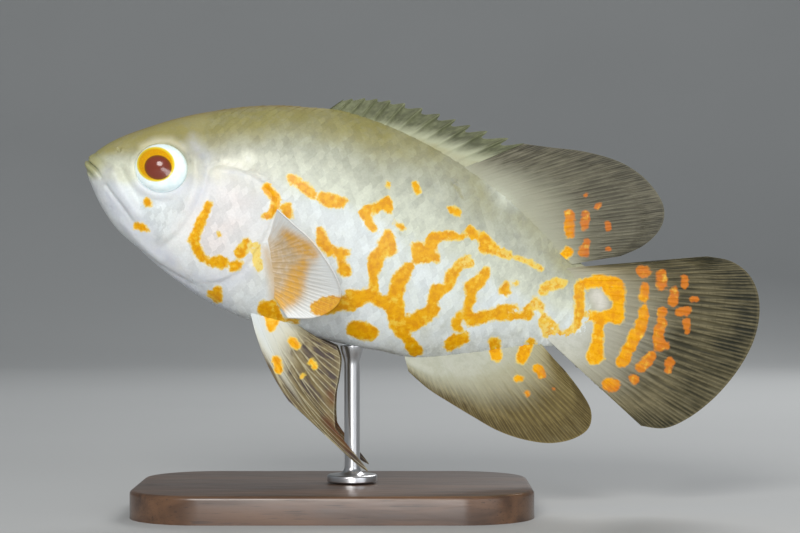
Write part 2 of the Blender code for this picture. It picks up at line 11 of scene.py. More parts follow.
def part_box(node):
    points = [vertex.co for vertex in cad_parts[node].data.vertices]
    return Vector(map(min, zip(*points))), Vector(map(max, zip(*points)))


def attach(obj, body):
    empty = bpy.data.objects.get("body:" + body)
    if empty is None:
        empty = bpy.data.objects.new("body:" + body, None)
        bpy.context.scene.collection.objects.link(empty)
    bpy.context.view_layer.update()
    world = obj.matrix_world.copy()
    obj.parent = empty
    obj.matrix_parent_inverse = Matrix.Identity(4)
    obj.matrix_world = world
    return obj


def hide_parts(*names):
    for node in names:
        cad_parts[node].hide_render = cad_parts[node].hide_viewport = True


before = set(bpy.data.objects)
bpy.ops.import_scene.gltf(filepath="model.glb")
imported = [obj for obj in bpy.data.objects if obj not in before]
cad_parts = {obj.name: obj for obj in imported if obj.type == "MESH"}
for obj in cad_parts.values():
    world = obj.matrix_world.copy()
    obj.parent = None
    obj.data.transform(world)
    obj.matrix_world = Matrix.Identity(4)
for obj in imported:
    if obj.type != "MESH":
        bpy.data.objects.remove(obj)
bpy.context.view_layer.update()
bpy.ops.object.select_all(action="DESELECT")

mm = 0.001
pose = {"headUp": math.radians(15), "snoutX": -54.0, "snoutZ": 75.5}


def toModel(uyv):
    uyv = np.asarray(uyv, float)
    c, s = math.cos(pose["headUp"]), math.sin(pose["headUp"])
    u, y, v = uyv[..., 0], uyv[..., 1], uyv[..., 2]
    return np.stack((pose["snoutX"] + u * c + v * s, y, pose["snoutZ"] - u * s + v * c), -1) * mm


def mix(a, b, share):
    return a + (b - a) * share


def smooth(low, high, value):
    t = np.clip((value - low) / (high - low), 0, 1)
    return t * t * (3 - 2 * t)


def hump(distance, width):
    return np.exp(-((distance / width) ** 2))


# A smooth curve through the points, read at shares from 0 to 1
def along(points, share):
    points = np.asarray(points, float)
    share = np.asarray(share, float)
    place = np.clip(share, 0, 1) * (len(points) - 1)
    start = np.minimum(place.astype(int), len(points) - 2)
    t = (place - start)[..., None]
    p, q = points[np.maximum(start - 1, 0)], points[start]
    r, s = points[start + 1], points[np.minimum(start + 2, len(points) - 1)]
    return 0.5 * (2 * q + (r - p) * t + (2 * p - 5 * q + 4 * r - s) * t**2 + (3 * q - p - 3 * r + s) * t**3)


# A table of pairs, read between its rows
def readTable(table, at):
    return np.interp(at, *zip(*table))


def smoothLine(points, count):
    return along(points, np.linspace(0, 1, count))


# Distance from many points to a line of points, the share of its length at the nearest place,
# and which side it lies on (positive to the left of the line's run)
def nearLine(places, line):
    line = np.asarray(line, float)
    best = np.full(len(places), 1e9)
    share = np.zeros(len(places))
    side = np.ones(len(places))
    count = len(line) - 1
    for k in range(count):
        a, run = line[k], line[k + 1] - line[k]
        reach = max(float(run @ run), 1e-12)
        rel = places - a
        t = np.clip(rel @ run / reach, 0, 1)
        off = rel - t[:, None] * run
        d = np.sqrt((off**2).sum(1))
        closer = d < best
        best = np.where(closer, d, best)
        share = np.where(closer, (k + t) / count, share)
        if places.shape[1] == 2:
            side = np.where(closer, np.sign(run[0] * off[:, 1] - run[1] * off[:, 0]), side)
    return best, share, side


# Signed distance to a closed outline, negative inside
def nearOutline(places, outline):
    line = np.asarray(outline, float)
    d, share, _ = nearLine(places, line)
    inside = np.zeros(len(places), bool)
    for a, b in zip(line[:-1], line[1:]):
        crosses = (a[1] > places[:, 1]) != (b[1] > places[:, 1])
        rise = b[1] - a[1] if b[1] != a[1] else 1e-9
        inside ^= crosses & (places[:, 0] < (b[0] - a[0]) * (places[:, 1] - a[1]) / rise + a[0])
    return np.where(inside, -d, d), share


# Distance to a chain of round blots of changing radius, negative inside
def nearBlots(places, blots):
    best = np.full(len(places), 1e9)
    for blot in blots:
        a = np.array(blot[0])
        for b in (blot[1:] or blot[:1]):
            b = np.array(b)
            run = b[:2] - a[:2]
            reach = max(float(run @ run), 1e-12)
            rel = places - a[:2]
            t = np.clip(rel @ run / reach, 0, 1)
            d = np.hypot(rel[:, 0] - t * run[0], rel[:, 1] - t * run[1]) - mix(a[2], b[2], t)
            best = np.minimum(best, d)
            a = b
    return best


def readPoints(mesh):
    co = np.empty(len(mesh.vertices) * 3)
    mesh.vertices.foreach_get("co", co)
    return co.reshape(-1, 3)


def writePoints(mesh, places):
    mesh.vertices.foreach_set("co", np.ascontiguousarray(places, float).ravel())
    mesh.update()


def addValues(mesh, name, values):
    made = mesh.attributes.new(name, "FLOAT", "POINT")
    made.data.foreach_set("value", np.ascontiguousarray(values, dtype=np.float32))


def addColours(mesh, name, values):
    made = mesh.attributes.new(name, "FLOAT_COLOR", "POINT")
    rgba = np.concatenate([values, np.ones((len(values), 1))], 1)
    made.data.foreach_set("color", np.ascontiguousarray(rgba, dtype=np.float32).ravel())


def takeActive(name):
    made = bpy.context.object
    made.name = made.data.name = name
    made.select_set(False)
    return made


def finishPiece(made, material, slot, *nodes, angle=40):
    made.data.materials.clear()
    made.data.materials.append(material)
    bpy.ops.object.select_all(action="DESELECT")
    bpy.context.view_layer.objects.active = made
    made.select_set(True)
    bpy.ops.object.shade_smooth_by_angle(angle=math.radians(angle))
    made.select_set(False)
    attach(made, "root")
    if nodes:
        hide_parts(*nodes)
    made.data.calc_loop_triangles()
    print(made.name, "done,", len(made.data.loop_triangles), "triangles")
    return made


def turnOutwards(made):
    bpy.ops.object.select_all(action="DESELECT")
    bpy.context.view_layer.objects.active = made
    made.select_set(True)
    bpy.ops.object.mode_set(mode="EDIT")
    bpy.ops.mesh.select_all(action="SELECT")
    bpy.ops.mesh.normals_make_consistent(inside=False)
    bpy.ops.object.mode_set(mode="OBJECT")


def applyAll(made):
    bpy.ops.object.select_all(action="DESELECT")
    bpy.context.view_layer.objects.active = made
    made.select_set(True)
    for modifier in list(made.modifiers):
        bpy.ops.object.modifier_apply(modifier=modifier.name)
    made.select_set(False)


# Camera and light come first, because the framing follows the photograph
camera = {"place": (0.01445, -0.486, 0.0533), "lens": 100, "sensor": 36, "near": 0.02, "far": 20}
studio = {"world": (0.9, 0.95, 1.0), "worldStrength": 0.27}
lights = (
    # name, place, aim, size, watts, colour
    ("keyLight", (-0.15, -0.76, 0.44), (0.0, 0.0, 0.05), 0.34, 5.3, (1.0, 0.98, 0.95)),
    ("fillLight", (0.55, -0.62, 0.10), (0.02, 0.0, 0.05), 0.6, 1.7, (0.93, 0.96, 1.0)),
    ("lowLight", (0.02, -0.6, 0.06), (0.0, 0.0, 0.03), 0.2, 0.95, (0.96, 0.98, 1.0)),
    ("rimLight", (0.25, 0.55, 0.5), (0.02, 0.0, 0.06), 0.4, 2.6, (1.0, 1.0, 1.0)),
)


def makeCamera():
    bpy.ops.object.camera_add(location=camera["place"], rotation=(math.radians(90), 0, 0))
    made = takeActive("photoCamera")
    made.data.lens = camera["lens"]
    made.data.sensor_width = camera["sensor"]
    made.data.clip_start = camera["near"]
    made.data.clip_end = camera["far"]
    bpy.context.scene.camera = made


def makeLights():
    for name, place, aim, size, watts, colour in lights:
        bpy.ops.object.light_add(type="AREA", location=place)
        made = takeActive(name)
        made.data.shape = "DISK"
        made.data.size = size
        made.data.energy = watts
        made.data.color = colour
        made.rotation_euler = (Vector(aim) - Vector(place)).to_track_quat("-Z", "Y").to_euler()
    world = bpy.data.worlds.new("studio")
    world.use_nodes = True
    light = world.node_tree.nodes["Background"].inputs
    light["Color"].default_value = (*studio["world"], 1)
    light["Strength"].default_value = studio["worldStrength"]
    bpy.context.scene.world = world
    bpy.context.scene.view_settings.view_transform = "Standard"


makeCamera()
makeLights()
print("camera and lights set")

colours = {
    "belly": (0.76, 0.81, 0.82),
    "flank": (0.67, 0.71, 0.70),
    "upper": (0.435, 0.44, 0.335),
    "creamFlank": (0.62, 0.64, 0.52),
    "back": (0.28, 0.245, 0.07),
    "blush": (0.83, 0.70, 0.66),
    "grey": (0.30, 0.31, 0.28),
    "lips": (0.30, 0.30, 0.12),
    "rim": (0.24, 0.10, 0.02),
    "orange": (0.77, 0.37, 0.0),
    "deepOrange": (0.67, 0.265, 0.0),
    "red": (0.52, 0.11, 0.015),
    "fringe": (0.82, 0.60, 0.08),
    "lavender": (0.52, 0.54, 0.62),
    "cream": (0.80, 0.77, 0.62),
    "tan": (0.57, 0.41, 0.225),
}


def rgba(colour):
    return (*colour, 1.0)


# Puts a node in a tree, with each input either a value or another node's output
def addNode(tree, kind, inputs=None, **settings):
    made = tree.nodes.new(kind)
    for key, value in settings.items():
        setattr(made, key, value)
    for key, value in (inputs or {}).items():
        socket = made.inputs[key]
        if isinstance(value, bpy.types.NodeSocket):
            tree.links.new(value, socket)
        else:
            socket.default_value = value
    return made


def addMath(tree, operation, a, b=0.5, c=0.5, clamp=False):
    terms = {0: a, 1: b, 2: c}
    return addNode(tree, "ShaderNodeMath", terms, operation=operation, use_clamp=clamp).outputs[0]


def addTimes(tree, a, b, clamp=False):
    return addMath(tree, "MULTIPLY", a, b, clamp=clamp)


def addMix(tree, share, a, b, blend="MIX"):
    made = addNode(tree, "ShaderNodeMix", data_type="RGBA", blend_type=blend)
    for key, value in ((0, share), (6, a), (7, b)):
        if isinstance(value, bpy.types.NodeSocket):
            tree.links.new(value, made.inputs[key])
        else:
            made.inputs[key].default_value = value
    return made.outputs[2]


def addRange(tree, value, low, high, newLow=0.0, newHigh=1.0):
    return addNode(tree, "ShaderNodeMapRange", {
        "Value": value, "From Min": low, "From Max": high, "To Min": newLow, "To Max": newHigh,
    }, interpolation_type="SMOOTHSTEP").outputs[0]


def addNoise(tree, place, scale, detail=3.0, roughness=0.55, distortion=0.0):
    return addNode(tree, "ShaderNodeTexNoise", {
        "Vector": place, "Scale": scale, "Detail": detail, "Roughness": roughness, "Distortion": distortion,
    }).outputs["Fac"]


def addStretchedNoise(tree, place, scale, detail=2.0, roughness=0.55, distortion=0.0):
    stretched = addNode(tree, "ShaderNodeMapping", {"Vector": place, "Scale": scale}).outputs[0]
    return addNoise(tree, stretched, 1.0, detail, roughness, distortion)


def addGrey(tree, value):
    return addNode(tree, "ShaderNodeCombineColor", {"Red": value, "Green": value, "Blue": value}).outputs[0]


def newGroup(name, inputs, outputs):
    group = bpy.data.node_groups.new(name, "ShaderNodeTree")
    for label, kind in inputs:
        group.interface.new_socket(label, in_out="INPUT", socket_type=kind)
    for label, kind in outputs:
        group.interface.new_socket(label, in_out="OUTPUT", socket_type=kind)
    return group, group.nodes.new("NodeGroupInput").outputs, group.nodes.new("NodeGroupOutput").inputs


# Orange blots with a yellow fringe, over whatever lies under them.
# Mark is the distance in mm to a blot's edge.
def makeMarkingGroup():
    group, given, out = newGroup(
        "orangeMarkings",
        (("Place", "NodeSocketVector"), ("Mark", "NodeSocketFloat"), ("Under", "NodeSocketColor"),
         ("Red", "NodeSocketFloat"), ("Strength", "NodeSocketFloat"), ("Fringe", "NodeSocketFloat")),
        (("Color", "NodeSocketColor"), ("Mask", "NodeSocketFloat")))
    rough = addNoise(group, given["Place"], 560.0, 2.0)
    fine = addNoise(group, given["Place"], 1500.0, 2.0)
    wander = addMath(group, "MULTIPLY_ADD", rough, 1.5, -0.75)
    wander = addMath(group, "ADD", wander, addMath(group, "MULTIPLY_ADD", fine, 0.6, -0.3))
    edge = addMath(group, "ADD", given["Mark"], wander)
    fringe = addRange(group, edge, 0.46, -0.06)
    core = addRange(group, edge, 0.2, -0.3)
    patchy = addNoise(group, given["Place"], 800.0, 3.0, 0.6)
    bright = addRange(group, patchy, 0.32, 0.6)
    orange = addMix(group, bright, rgba(colours["deepOrange"]), rgba(colours["orange"]))
    orange = addMix(group, given["Red"], orange, rgba(colours["red"]))
    thin = addNoise(group, given["Place"], 330.0, 2.0)
    holes = addTimes(group, addRange(group, addMath(group, "ADD", patchy, thin), 1.06, 1.4), 0.75)
    orange = addMix(group, holes, orange, rgba(colours["fringe"]))
    fringe = addTimes(group, fringe, addTimes(group, given["Fringe"], 0.85))
    shown = addMix(group, fringe, given["Under"], rgba(colours["fringe"]))
    core = addTimes(group, core, given["Strength"])
    shown = addMix(group, core, shown, orange)
    group.links.new(shown, out["Color"])
    group.links.new(core, out["Mask"])
    return group


# The fish's ground colours. Zones hold how olive, how pink and how grey the skin is; part of the grey is
# painted shade.
def makeGroundGroup():
    group, given, out = newGroup(
        "groundColours", (("Place", "NodeSocketVector"), ("Zones", "NodeSocketColor")),
        (("Color", "NodeSocketColor"), ("Mottle", "NodeSocketFloat")))
    zones = addNode(group, "ShaderNodeSeparateColor", {"Color": given["Zones"]}).outputs
    broad = addNoise(group, given["Place"], 110.0, 3.0)
    middle = addNoise(group, given["Place"], 430.0, 4.0, 0.65)
    fine = addNoise(group, given["Place"], 2200.0, 3.0, 0.6)
    shown = addMix(group, addRange(group, middle, 0.35, 0.7), rgba(colours["flank"]), rgba(colours["belly"]))
    olive = zones["Red"]
    for noise, reach in ((broad, 0.36), (middle, 0.24)):
        uneven = addMath(group, "MULTIPLY_ADD", noise, reach, -reach / 2)
        olive = addMath(group, "ADD", olive, uneven, clamp=True)
    shown = addMix(group, addRange(group, olive, 0.0, 0.25), shown, rgba(colours["creamFlank"]))
    shown = addMix(group, addRange(group, olive, 0.2, 0.72), shown, rgba(colours["upper"]))
    shown = addMix(group, addRange(group, olive, 0.6, 1.04), shown, rgba(colours["back"]))
    blush = addTimes(group, zones["Green"], addRange(group, broad, 0.2, 0.8, 0.5, 1.0))
    shown = addMix(group, blush, shown, rgba(colours["blush"]))
    streaks = addTimes(group, zones["Blue"], addRange(group, middle, 0.42, 0.66, 0.25, 1.0))
    shown = addMix(group, addTimes(group, streaks, 0.75), shown, rgba(colours["grey"]))
    speck = addRange(group, fine, 0.35, 0.7, 0.95, 1.03)
    shown = addMix(group, 1.0, shown, addGrey(group, speck), "MULTIPLY")
    group.links.new(shown, out["Color"])
    group.links.new(middle, out["Mottle"])
    return group


markingGroup = makeMarkingGroup()
groundGroup = makeGroundGroup()


def newMaterial(name):
    made = bpy.data.materials.new(name)
    made.use_nodes = True
    return made, made.node_tree, made.node_tree.nodes["Principled BSDF"].inputs


def useGroup(tree, group, inputs):
    made = addNode(tree, "ShaderNodeGroup", node_tree=group)
    for key, value in inputs.items():
        if isinstance(value, bpy.types.NodeSocket):
            tree.links.new(value, made.inputs[key])
        else:
            made.inputs[key].default_value = value
    return made.outputs


def readAttribute(tree, name, output="Fac"):
    return addNode(tree, "ShaderNodeAttribute", attribute_name=name).outputs[output]


# Shares of each tone, then how rough, shiny and soft the skin is
skinFinish = {
    "tint": (0.9, 1.05), "cool": (0.4, 0.75), "cream": 0.5, "lips": 0.8, "tan": 0.85, "worn": 0.8,
    "rough": (0.32, 0.46), "bump": 0.3, "specular": 0.22, "coat": 0.06, "coatRough": 0.2,
    "flesh": 0.12, "fleshRadius": (1.0, 0.6, 0.45), "fleshDepth": 0.0012,
}


def makeSkinMaterial(name, scaled):
    made, tree, shader = newMaterial(name)
    place = addNode(tree, "ShaderNodeTexCoord").outputs["Object"]
    ground = useGroup(tree, groundGroup, {"Place": place, "Zones": readAttribute(tree, "zones", "Color")})
    shown = ground["Color"]
    if scaled:  # each scale a little lighter or darker
        tint = addRange(tree, readAttribute(tree, "tint"), 0.0, 1.0, *skinFinish["tint"])
        shown = addMix(tree, 1.0, shown, addGrey(tree, tint), "MULTIPLY")
    # lavender from the cool attribute: the real tint, and painted shade in creases and under the eye
    mottle = addRange(tree, ground["Mottle"], 0.3, 0.7, *skinFinish["cool"])
    cool = addTimes(tree, readAttribute(tree, "cool"), mottle)
    shown = addMix(tree, cool, shown, rgba(colours["lavender"]))
    for tone in ("cream", "lips", "tan"):
        share = addTimes(tree, readAttribute(tree, tone), skinFinish[tone])
        shown = addMix(tree, share, shown, rgba(colours[tone]))
    shown = addMix(tree, readAttribute(tree, "rim"), shown, rgba(colours["rim"]))
    flecks = addRange(tree, addNoise(tree, place, 1100.0, 2.0), 0.42, 0.58, 0.2, 1.0)
    worn = addTimes(tree, readAttribute(tree, "worn"), flecks)
    strength = addMath(tree, "MULTIPLY_ADD", worn, -skinFinish["worn"], 1.0)
    marked = useGroup(tree, markingGroup, {
        "Place": place, "Mark": readAttribute(tree, "mark"), "Under": shown,
        "Red": 0.0, "Strength": strength, "Fringe": 1.0})
    tree.links.new(marked["Color"], shader["Base Color"])
    fine = addNoise(tree, place, 3000.0, 2.0)
    tree.links.new(addRange(tree, fine, 0.3, 0.7, *skinFinish["rough"]), shader["Roughness"])
    height = addMath(tree, "MULTIPLY_ADD", fine, 0.25, addTimes(tree, ground["Mottle"], 0.5))
    bump = addNode(tree, "ShaderNodeBump", {
        "Strength": skinFinish["bump"], "Distance": 0.0002, "Height": height})
    tree.links.new(bump.outputs["Normal"], shader["Normal"])
    shader["Subsurface Weight"].default_value = skinFinish["flesh"]
    shader["Subsurface Radius"].default_value = skinFinish["fleshRadius"]
    shader["Subsurface Scale"].default_value = skinFinish["fleshDepth"]
    shader["Specular IOR Level"].default_value = skinFinish["specular"]
    shader["Coat Weight"].default_value = skinFinish["coat"]
    shader["Coat Roughness"].default_value = skinFinish["coatRough"]
    return made


# Each fin's own colours: the web between the rays with its dark streaks, the rays, and the fleshy root.
# warm, glow and seeThrough are the shares and tones that only some of the fins have.
finFinishes = {
    "spiny": {
        "rays": 12, "rayShare": 0.55, "ray": (0.25, 0.27, 0.16), "web": (0.12, 0.13, 0.068),
        "dark": (0.05, 0.052, 0.032), "darkness": 0.6, "root": (0.41, 0.43, 0.31), "rootShare": 0.25,
        "bump": 0.3, "red": 0.2, "markShare": 0.8, "fringe": 0.0},
    "softDorsal": {
        "rays": 20, "rayShare": 0.5, "ray": (0.20, 0.192, 0.135), "web": (0.108, 0.098, 0.068),
        "dark": (0.034, 0.032, 0.025), "darkness": 0.8, "root": (0.36, 0.365, 0.28), "rootShare": 0.25,
        "bump": 0.3, "red": 0.8, "markShare": 0.8, "fringe": 0.0},
    "anal": {
        "rays": 19, "rayShare": 0.4, "ray": (0.33, 0.26, 0.10), "web": (0.104, 0.078, 0.029),
        "dark": (0.05, 0.035, 0.013), "darkness": 0.65, "root": (0.355, 0.36, 0.255), "rootShare": 0.62,
        "bump": 0.3, "red": 0.85, "markShare": 0.75, "fringe": 0.0},
    "tail": {
        "rays": 16, "rayShare": 0.45, "ray": (0.25, 0.212, 0.12), "web": (0.075, 0.064, 0.032),
        "dark": (0.014, 0.015, 0.010), "darkness": 0.95, "root": (0.37, 0.365, 0.29), "rootShare": 0.5,
        "bump": 0.3, "red": 0.75, "markShare": 0.86, "fringe": 0.0, "glow": (0.62, 0.60, 0.54)},
    "pectoral": {
        "rays": 14, "rayShare": 0.7, "ray": (0.82, 0.80, 0.75), "web": (0.68, 0.68, 0.64),
        "dark": (0.52, 0.47, 0.42), "darkness": 0.35, "root": (0.62, 0.48, 0.31), "rootShare": 0.9,
        "bump": 0.2, "red": 0.0, "markShare": 0.9, "fringe": 0.3, "glow": (0.74, 0.40, 0.07),
        # webPaintedLight is a pale tone painted in as light on the thin web
        "warm": colours["tan"], "seeThrough": 0.85, "webPaintedLight": (0.88, 0.90, 0.90),
        # edge is painted shade for the fin's rim
        "edge": (0.64, 0.64, 0.62)},
    "pelvic": {
        "rays": 5, "rayShare": 0.7, "ray": (0.54, 0.50, 0.34), "web": (0.195, 0.15, 0.062),
        # its root is the belly's tone darkened, painted shade to blend with the shaded belly
        "dark": (0.05, 0.036, 0.04), "darkness": 0.9, "root": (0.55, 0.60, 0.61), "rootShare": 0.9,
        "bump": 0.3, "red": 0.0, "markShare": 0.95, "fringe": 0.8, "warm": (0.13, 0.04, 0.01)},
}
finGloss = {"rough": (0.38, 0.52), "specular": 0.1, "coat": 0.02, "coatRough": 0.3}


# Noise over the fin's own map, x across the rays and y along them
def addStreaks(tree, x, y, roughness):
    place = addNode(tree, "ShaderNodeCombineXYZ", {"X": x, "Y": y}).outputs[0]
    return addNoise(tree, place, 1.0, 3.0, roughness)


def makeFinMaterial(name):
    finish = finFinishes[name]
    made, tree, shader = newMaterial(f"{name}Fin")
    place = addNode(tree, "ShaderNodeTexCoord").outputs["Object"]
    out = readAttribute(tree, "out")
    ridge = readAttribute(tree, "ridge")
    flesh = readAttribute(tree, "flesh")
    across = addTimes(tree, readAttribute(tree, "share"), finish["rays"])
    grain = addStreaks(tree, addTimes(tree, across, 4.0), addTimes(tree, out, 5.0), 0.6)
    streak = addStreaks(tree, across, addTimes(tree, out, 2.4), 0.65)
    blotch = addNoise(tree, place, 150.0, 3.0)
    middle = addNoise(tree, place, 700.0, 3.0, 0.6)
    dusk = readAttribute(tree, "dusk")
    darkness = addMath(tree, "MULTIPLY_ADD", grain, 0.6, addTimes(tree, streak, 0.6))
    darkness = addMath(tree, "MULTIPLY_ADD", blotch, 0.25, darkness)
    darkness = addTimes(tree, addRange(tree, darkness, 0.58, 0.9), dusk, clamp=True)
    duskShare = addTimes(tree, dusk, 1.0, clamp=True)
    web = addMix(tree, duskShare, rgba(finish["ray"]), rgba(finish["web"]))
    web = addMix(tree, addTimes(tree, darkness, finish["darkness"]), web, rgba(finish["dark"]))
    fleck = addRange(tree, middle, 0.25, 0.65, 0.5, 1.0)
    rayShown = addTimes(tree, addRange(tree, ridge, 0.2, 0.95), fleck)
    rayDusk = addTimes(tree, dusk, addRange(tree, blotch, 0.3, 0.8, 0.0, 0.5))
    rayColour = addMix(tree, rayDusk, rgba(finish["ray"]), rgba(finish["web"]))
    shown = addMix(tree, addTimes(tree, rayShown, finish["rayShare"]), web, rayColour)
    joints = addTimes(tree, addMath(tree, "MULTIPLY_ADD", streak, 0.04, out), 52.0)
    joints = addRange(tree, addMath(tree, "PINGPONG", joints, 1.0), 0.25, 0.0)
    joints = addTimes(tree, joints, addTimes(tree, rayShown, addRange(tree, out, 0.3, 0.5)))
    shown = addMix(tree, addTimes(tree, joints, 0.25), shown, rgba(finish["dark"]))
    ground = useGroup(tree, groundGroup, {"Place": place, "Zones": readAttribute(tree, "zones", "Color")})
    uneven = addMath(tree, "ADD", grain, streak)
    rootward = addMath(tree, "MULTIPLY_ADD", uneven, -0.25, addMath(tree, "ADD", flesh, 0.24))
    rootShare = addRange(tree, flesh, 0.7, 1.0, 0.85, finish["rootShare"])
    rootColour = addMix(tree, rootShare, ground["Color"], rgba(finish["root"]))
    shown = addMix(tree, addTimes(tree, rootward, 1.0, clamp=True), shown, rootColour)
    shown = addMix(tree, addTimes(tree, addRange(tree, out, 0.982, 0.996), 0.2), shown, rgba(finish["ray"]))
    speckle = addMath(tree, "ADD", grain, middle)
    if "warm" in finish:
        warm = addTimes(tree, readAttribute(tree, "warm"), addRange(tree, speckle, 0.7, 1.2, 0.65, 1.0))
        shown = addMix(tree, warm, shown, rgba(finish["warm"]))
    if "seeThrough" in finish:  # the flank's colours show through the thin web
        most = finish["seeThrough"]
        through = addRange(tree, ridge, 0.2, 0.9, most, most * 0.75)
        through = addTimes(tree, readAttribute(tree, "thin"), through)
        # the see-through colour is lifted with a pale tone, painted light on the web where it turns from the
        # lamps
        shown = addMix(tree, through, shown, addMix(tree, 0.55, ground["Color"], rgba(finish["webPaintedLight"])))
        # painted shade along the outer rim, which damps the light that the rim catches
        shown = addMix(tree, addRange(tree, out, 0.955, 0.985), shown, rgba(finish["edge"]))
    if "glow" in finish:
        glow = addTimes(tree, readAttribute(tree, "glow"), addRange(tree, speckle, 0.7, 1.15, 0.6, 0.95))
        shown = addMix(tree, glow, shown, rgba(finish["glow"]))
    solid = addMath(tree, "MULTIPLY_ADD", ridge, 0.3, flesh)
    marked = useGroup(tree, markingGroup, {
        "Place": place, "Mark": readAttribute(tree, "mark"), "Under": shown,
        "Red": addRange(tree, flesh, 0.6, 0.0, 0.0, finish["red"]),
        "Strength": addRange(tree, solid, 0.0, 0.6, finish["markShare"], 1.0),
        "Fringe": addRange(tree, flesh, 0.2, 0.9, finish["fringe"], 1.0)})
    tree.links.new(marked["Color"], shader["Base Color"])
    height = addMath(tree, "MULTIPLY_ADD", ridge, 0.5, addTimes(tree, grain, 0.5))
    height = addMath(tree, "SUBTRACT", height, addTimes(tree, joints, 0.12))
    height = addTimes(tree, height, addRange(tree, flesh, 0.9, 0.2, 0.15, 1.0))
    bump = addNode(tree, "ShaderNodeBump", {"Strength": finish["bump"], "Distance": 0.0002, "Height": height})
    tree.links.new(bump.outputs["Normal"], shader["Normal"])
    tree.links.new(addRange(tree, grain, 0.3, 0.7, *finGloss["rough"]), shader["Roughness"])
    shader["Specular IOR Level"].default_value = finGloss["specular"]
    shader["Coat Weight"].default_value = finGloss["coat"]
    shader["Coat Roughness"].default_value = finGloss["coatRough"]
    return made


skinMaterial = makeSkinMaterial("fishSkin", False)
scaleMaterial = makeSkinMaterial("fishScales", True)
print("skin and fin materials built")

body = {
    # u, back line, belly line, half width; the last ones run the flesh out over the tail fin's root
    "stations": (
        (0.3, 0.7, 0.7, 0.0), (0.75, 2.3, -1.2, 2.2), (1.7, 3.8, -3.1, 3.7), (3.3, 5.7, -5.5, 4.9),
        (6.0, 8.1, -8.5, 6.1), (10.0, 10.9, -11.8, 7.3), (16.0, 14.7, -15.1, 8.4), (23.0, 18.3, -18.4, 9.3),
        (31.0, 21.7, -21.4, 10.1), (40.0, 24.2, -23.3, 10.6), (50.0, 25.5, -23.8, 10.4),
        (60.0, 25.0, -23.5, 9.7), (70.0, 23.2, -23.0, 8.5), (80.0, 20.4, -21.4, 6.9),
        (90.0, 16.6, -18.1, 5.1), (99.0, 12.2, -14.4, 3.5), (105.0, 9.0, -12.4, 2.4),
        (108.5, 7.4, -11.7, 1.75), (112.0, 6.3, -11.2, 1.25), (115.0, 4.6, -9.6, 0.75),
        (116.6, 2.0, -6.6, 0.35), (117.0, -2.3, -2.3, 0.0)),
    "widestLevel": 0.53,
    "backRoundness": (2.15, 1.8),
    "bellyRoundness": (2.1, 2.2),
    "headLength": 43.0,
    "columns": 236,
    "rowSteps": ((0, 0.17), (7, 0.22), (14, 0.29), (30, 0.31), (46, 0.42), (60, 0.58), (117, 0.58)),
    "coatDepth": 0.14,
}


def bodySurface(share, angle):
    u, top, bottom, half = np.moveaxis(along(body["stations"], share), -1, 0)
    towardTail = np.clip(u / body["headLength"], 0, 1)
    up = np.cos(angle) > 0
    power = np.where(up, mix(*body["backRoundness"], towardTail), mix(*body["bellyRoundness"], towardTail))
    level = mix(bottom, top, body["widestLevel"])
    reach = np.where(up, top - level, level - bottom)
    y = np.sign(np.sin(angle)) * np.abs(np.sin(angle)) ** (2 / power) * np.maximum(half, 0)
    v = level + np.sign(np.cos(angle)) * np.abs(np.cos(angle)) ** (2 / power) * reach
    return np.stack((u + 0 * angle, y, v), -1)


shareList = np.linspace(0, 1, 8001)
uList = along(body["stations"], shareList)[:, 0]


def shareAt(u):
    return np.interp(u, uList, shareList)


def flankY(u, v):
    angles = np.linspace(0, math.pi, 721)
    line = bodySurface(np.full(721, float(shareAt(u))), angles)
    return float(np.interp(-v, -line[:, 2], line[:, 1]))


# How the photograph shows the fish, in its pixels, with the camera's distance in mm.
# tilt is the cosine and the sine of how far the head is turned up.
photo = {
    "snout": (87, 165), "perMm": 4.573, "tilt": (0.96593, 0.25882), "centre": (400, 266.5), "distance": 486,
}


def fromPhoto(x, y):
    x, y = x - photo["snout"][0], y - photo["snout"][1]
    c, s = photo["tilt"]
    return (x * c + y * s) / photo["perMm"], (x * s - y * c) / photo["perMm"]


# A blot where the photograph shows it, moved to the depth at which it lies on the flank
def seen(x, y, radius, depth=None):
    if depth is None:
        depth = flankY(*fromPhoto(x, y))
    nearer = 1 - depth / photo["distance"]
    across, down = photo["centre"]
    u, v = fromPhoto(across + (x - across) * nearer, down + (y - down) * nearer)
    return u, v, radius / photo["perMm"]


def strokes(*chains, depth=None):
    return [[seen(*point, depth) for point in chain] for chain in chains]


# The ring on the tail's root, which the skin and the tail fin share
ringStrokes = (
    ((580, 287, 5.4), (580, 310, 5.8), (578, 322, 4)),
    ((580, 286, 5.4), (595, 281, 5.2), (610, 281, 5.4), (618, 283, 5.6), (619, 300, 6.4), (617, 318, 6.6),
     (611, 316, 6), (598, 318, 4.8), (585, 314, 4.2)), ((599, 322, 4.8), (598, 339, 4.8), (595, 356, 8.6)),
)
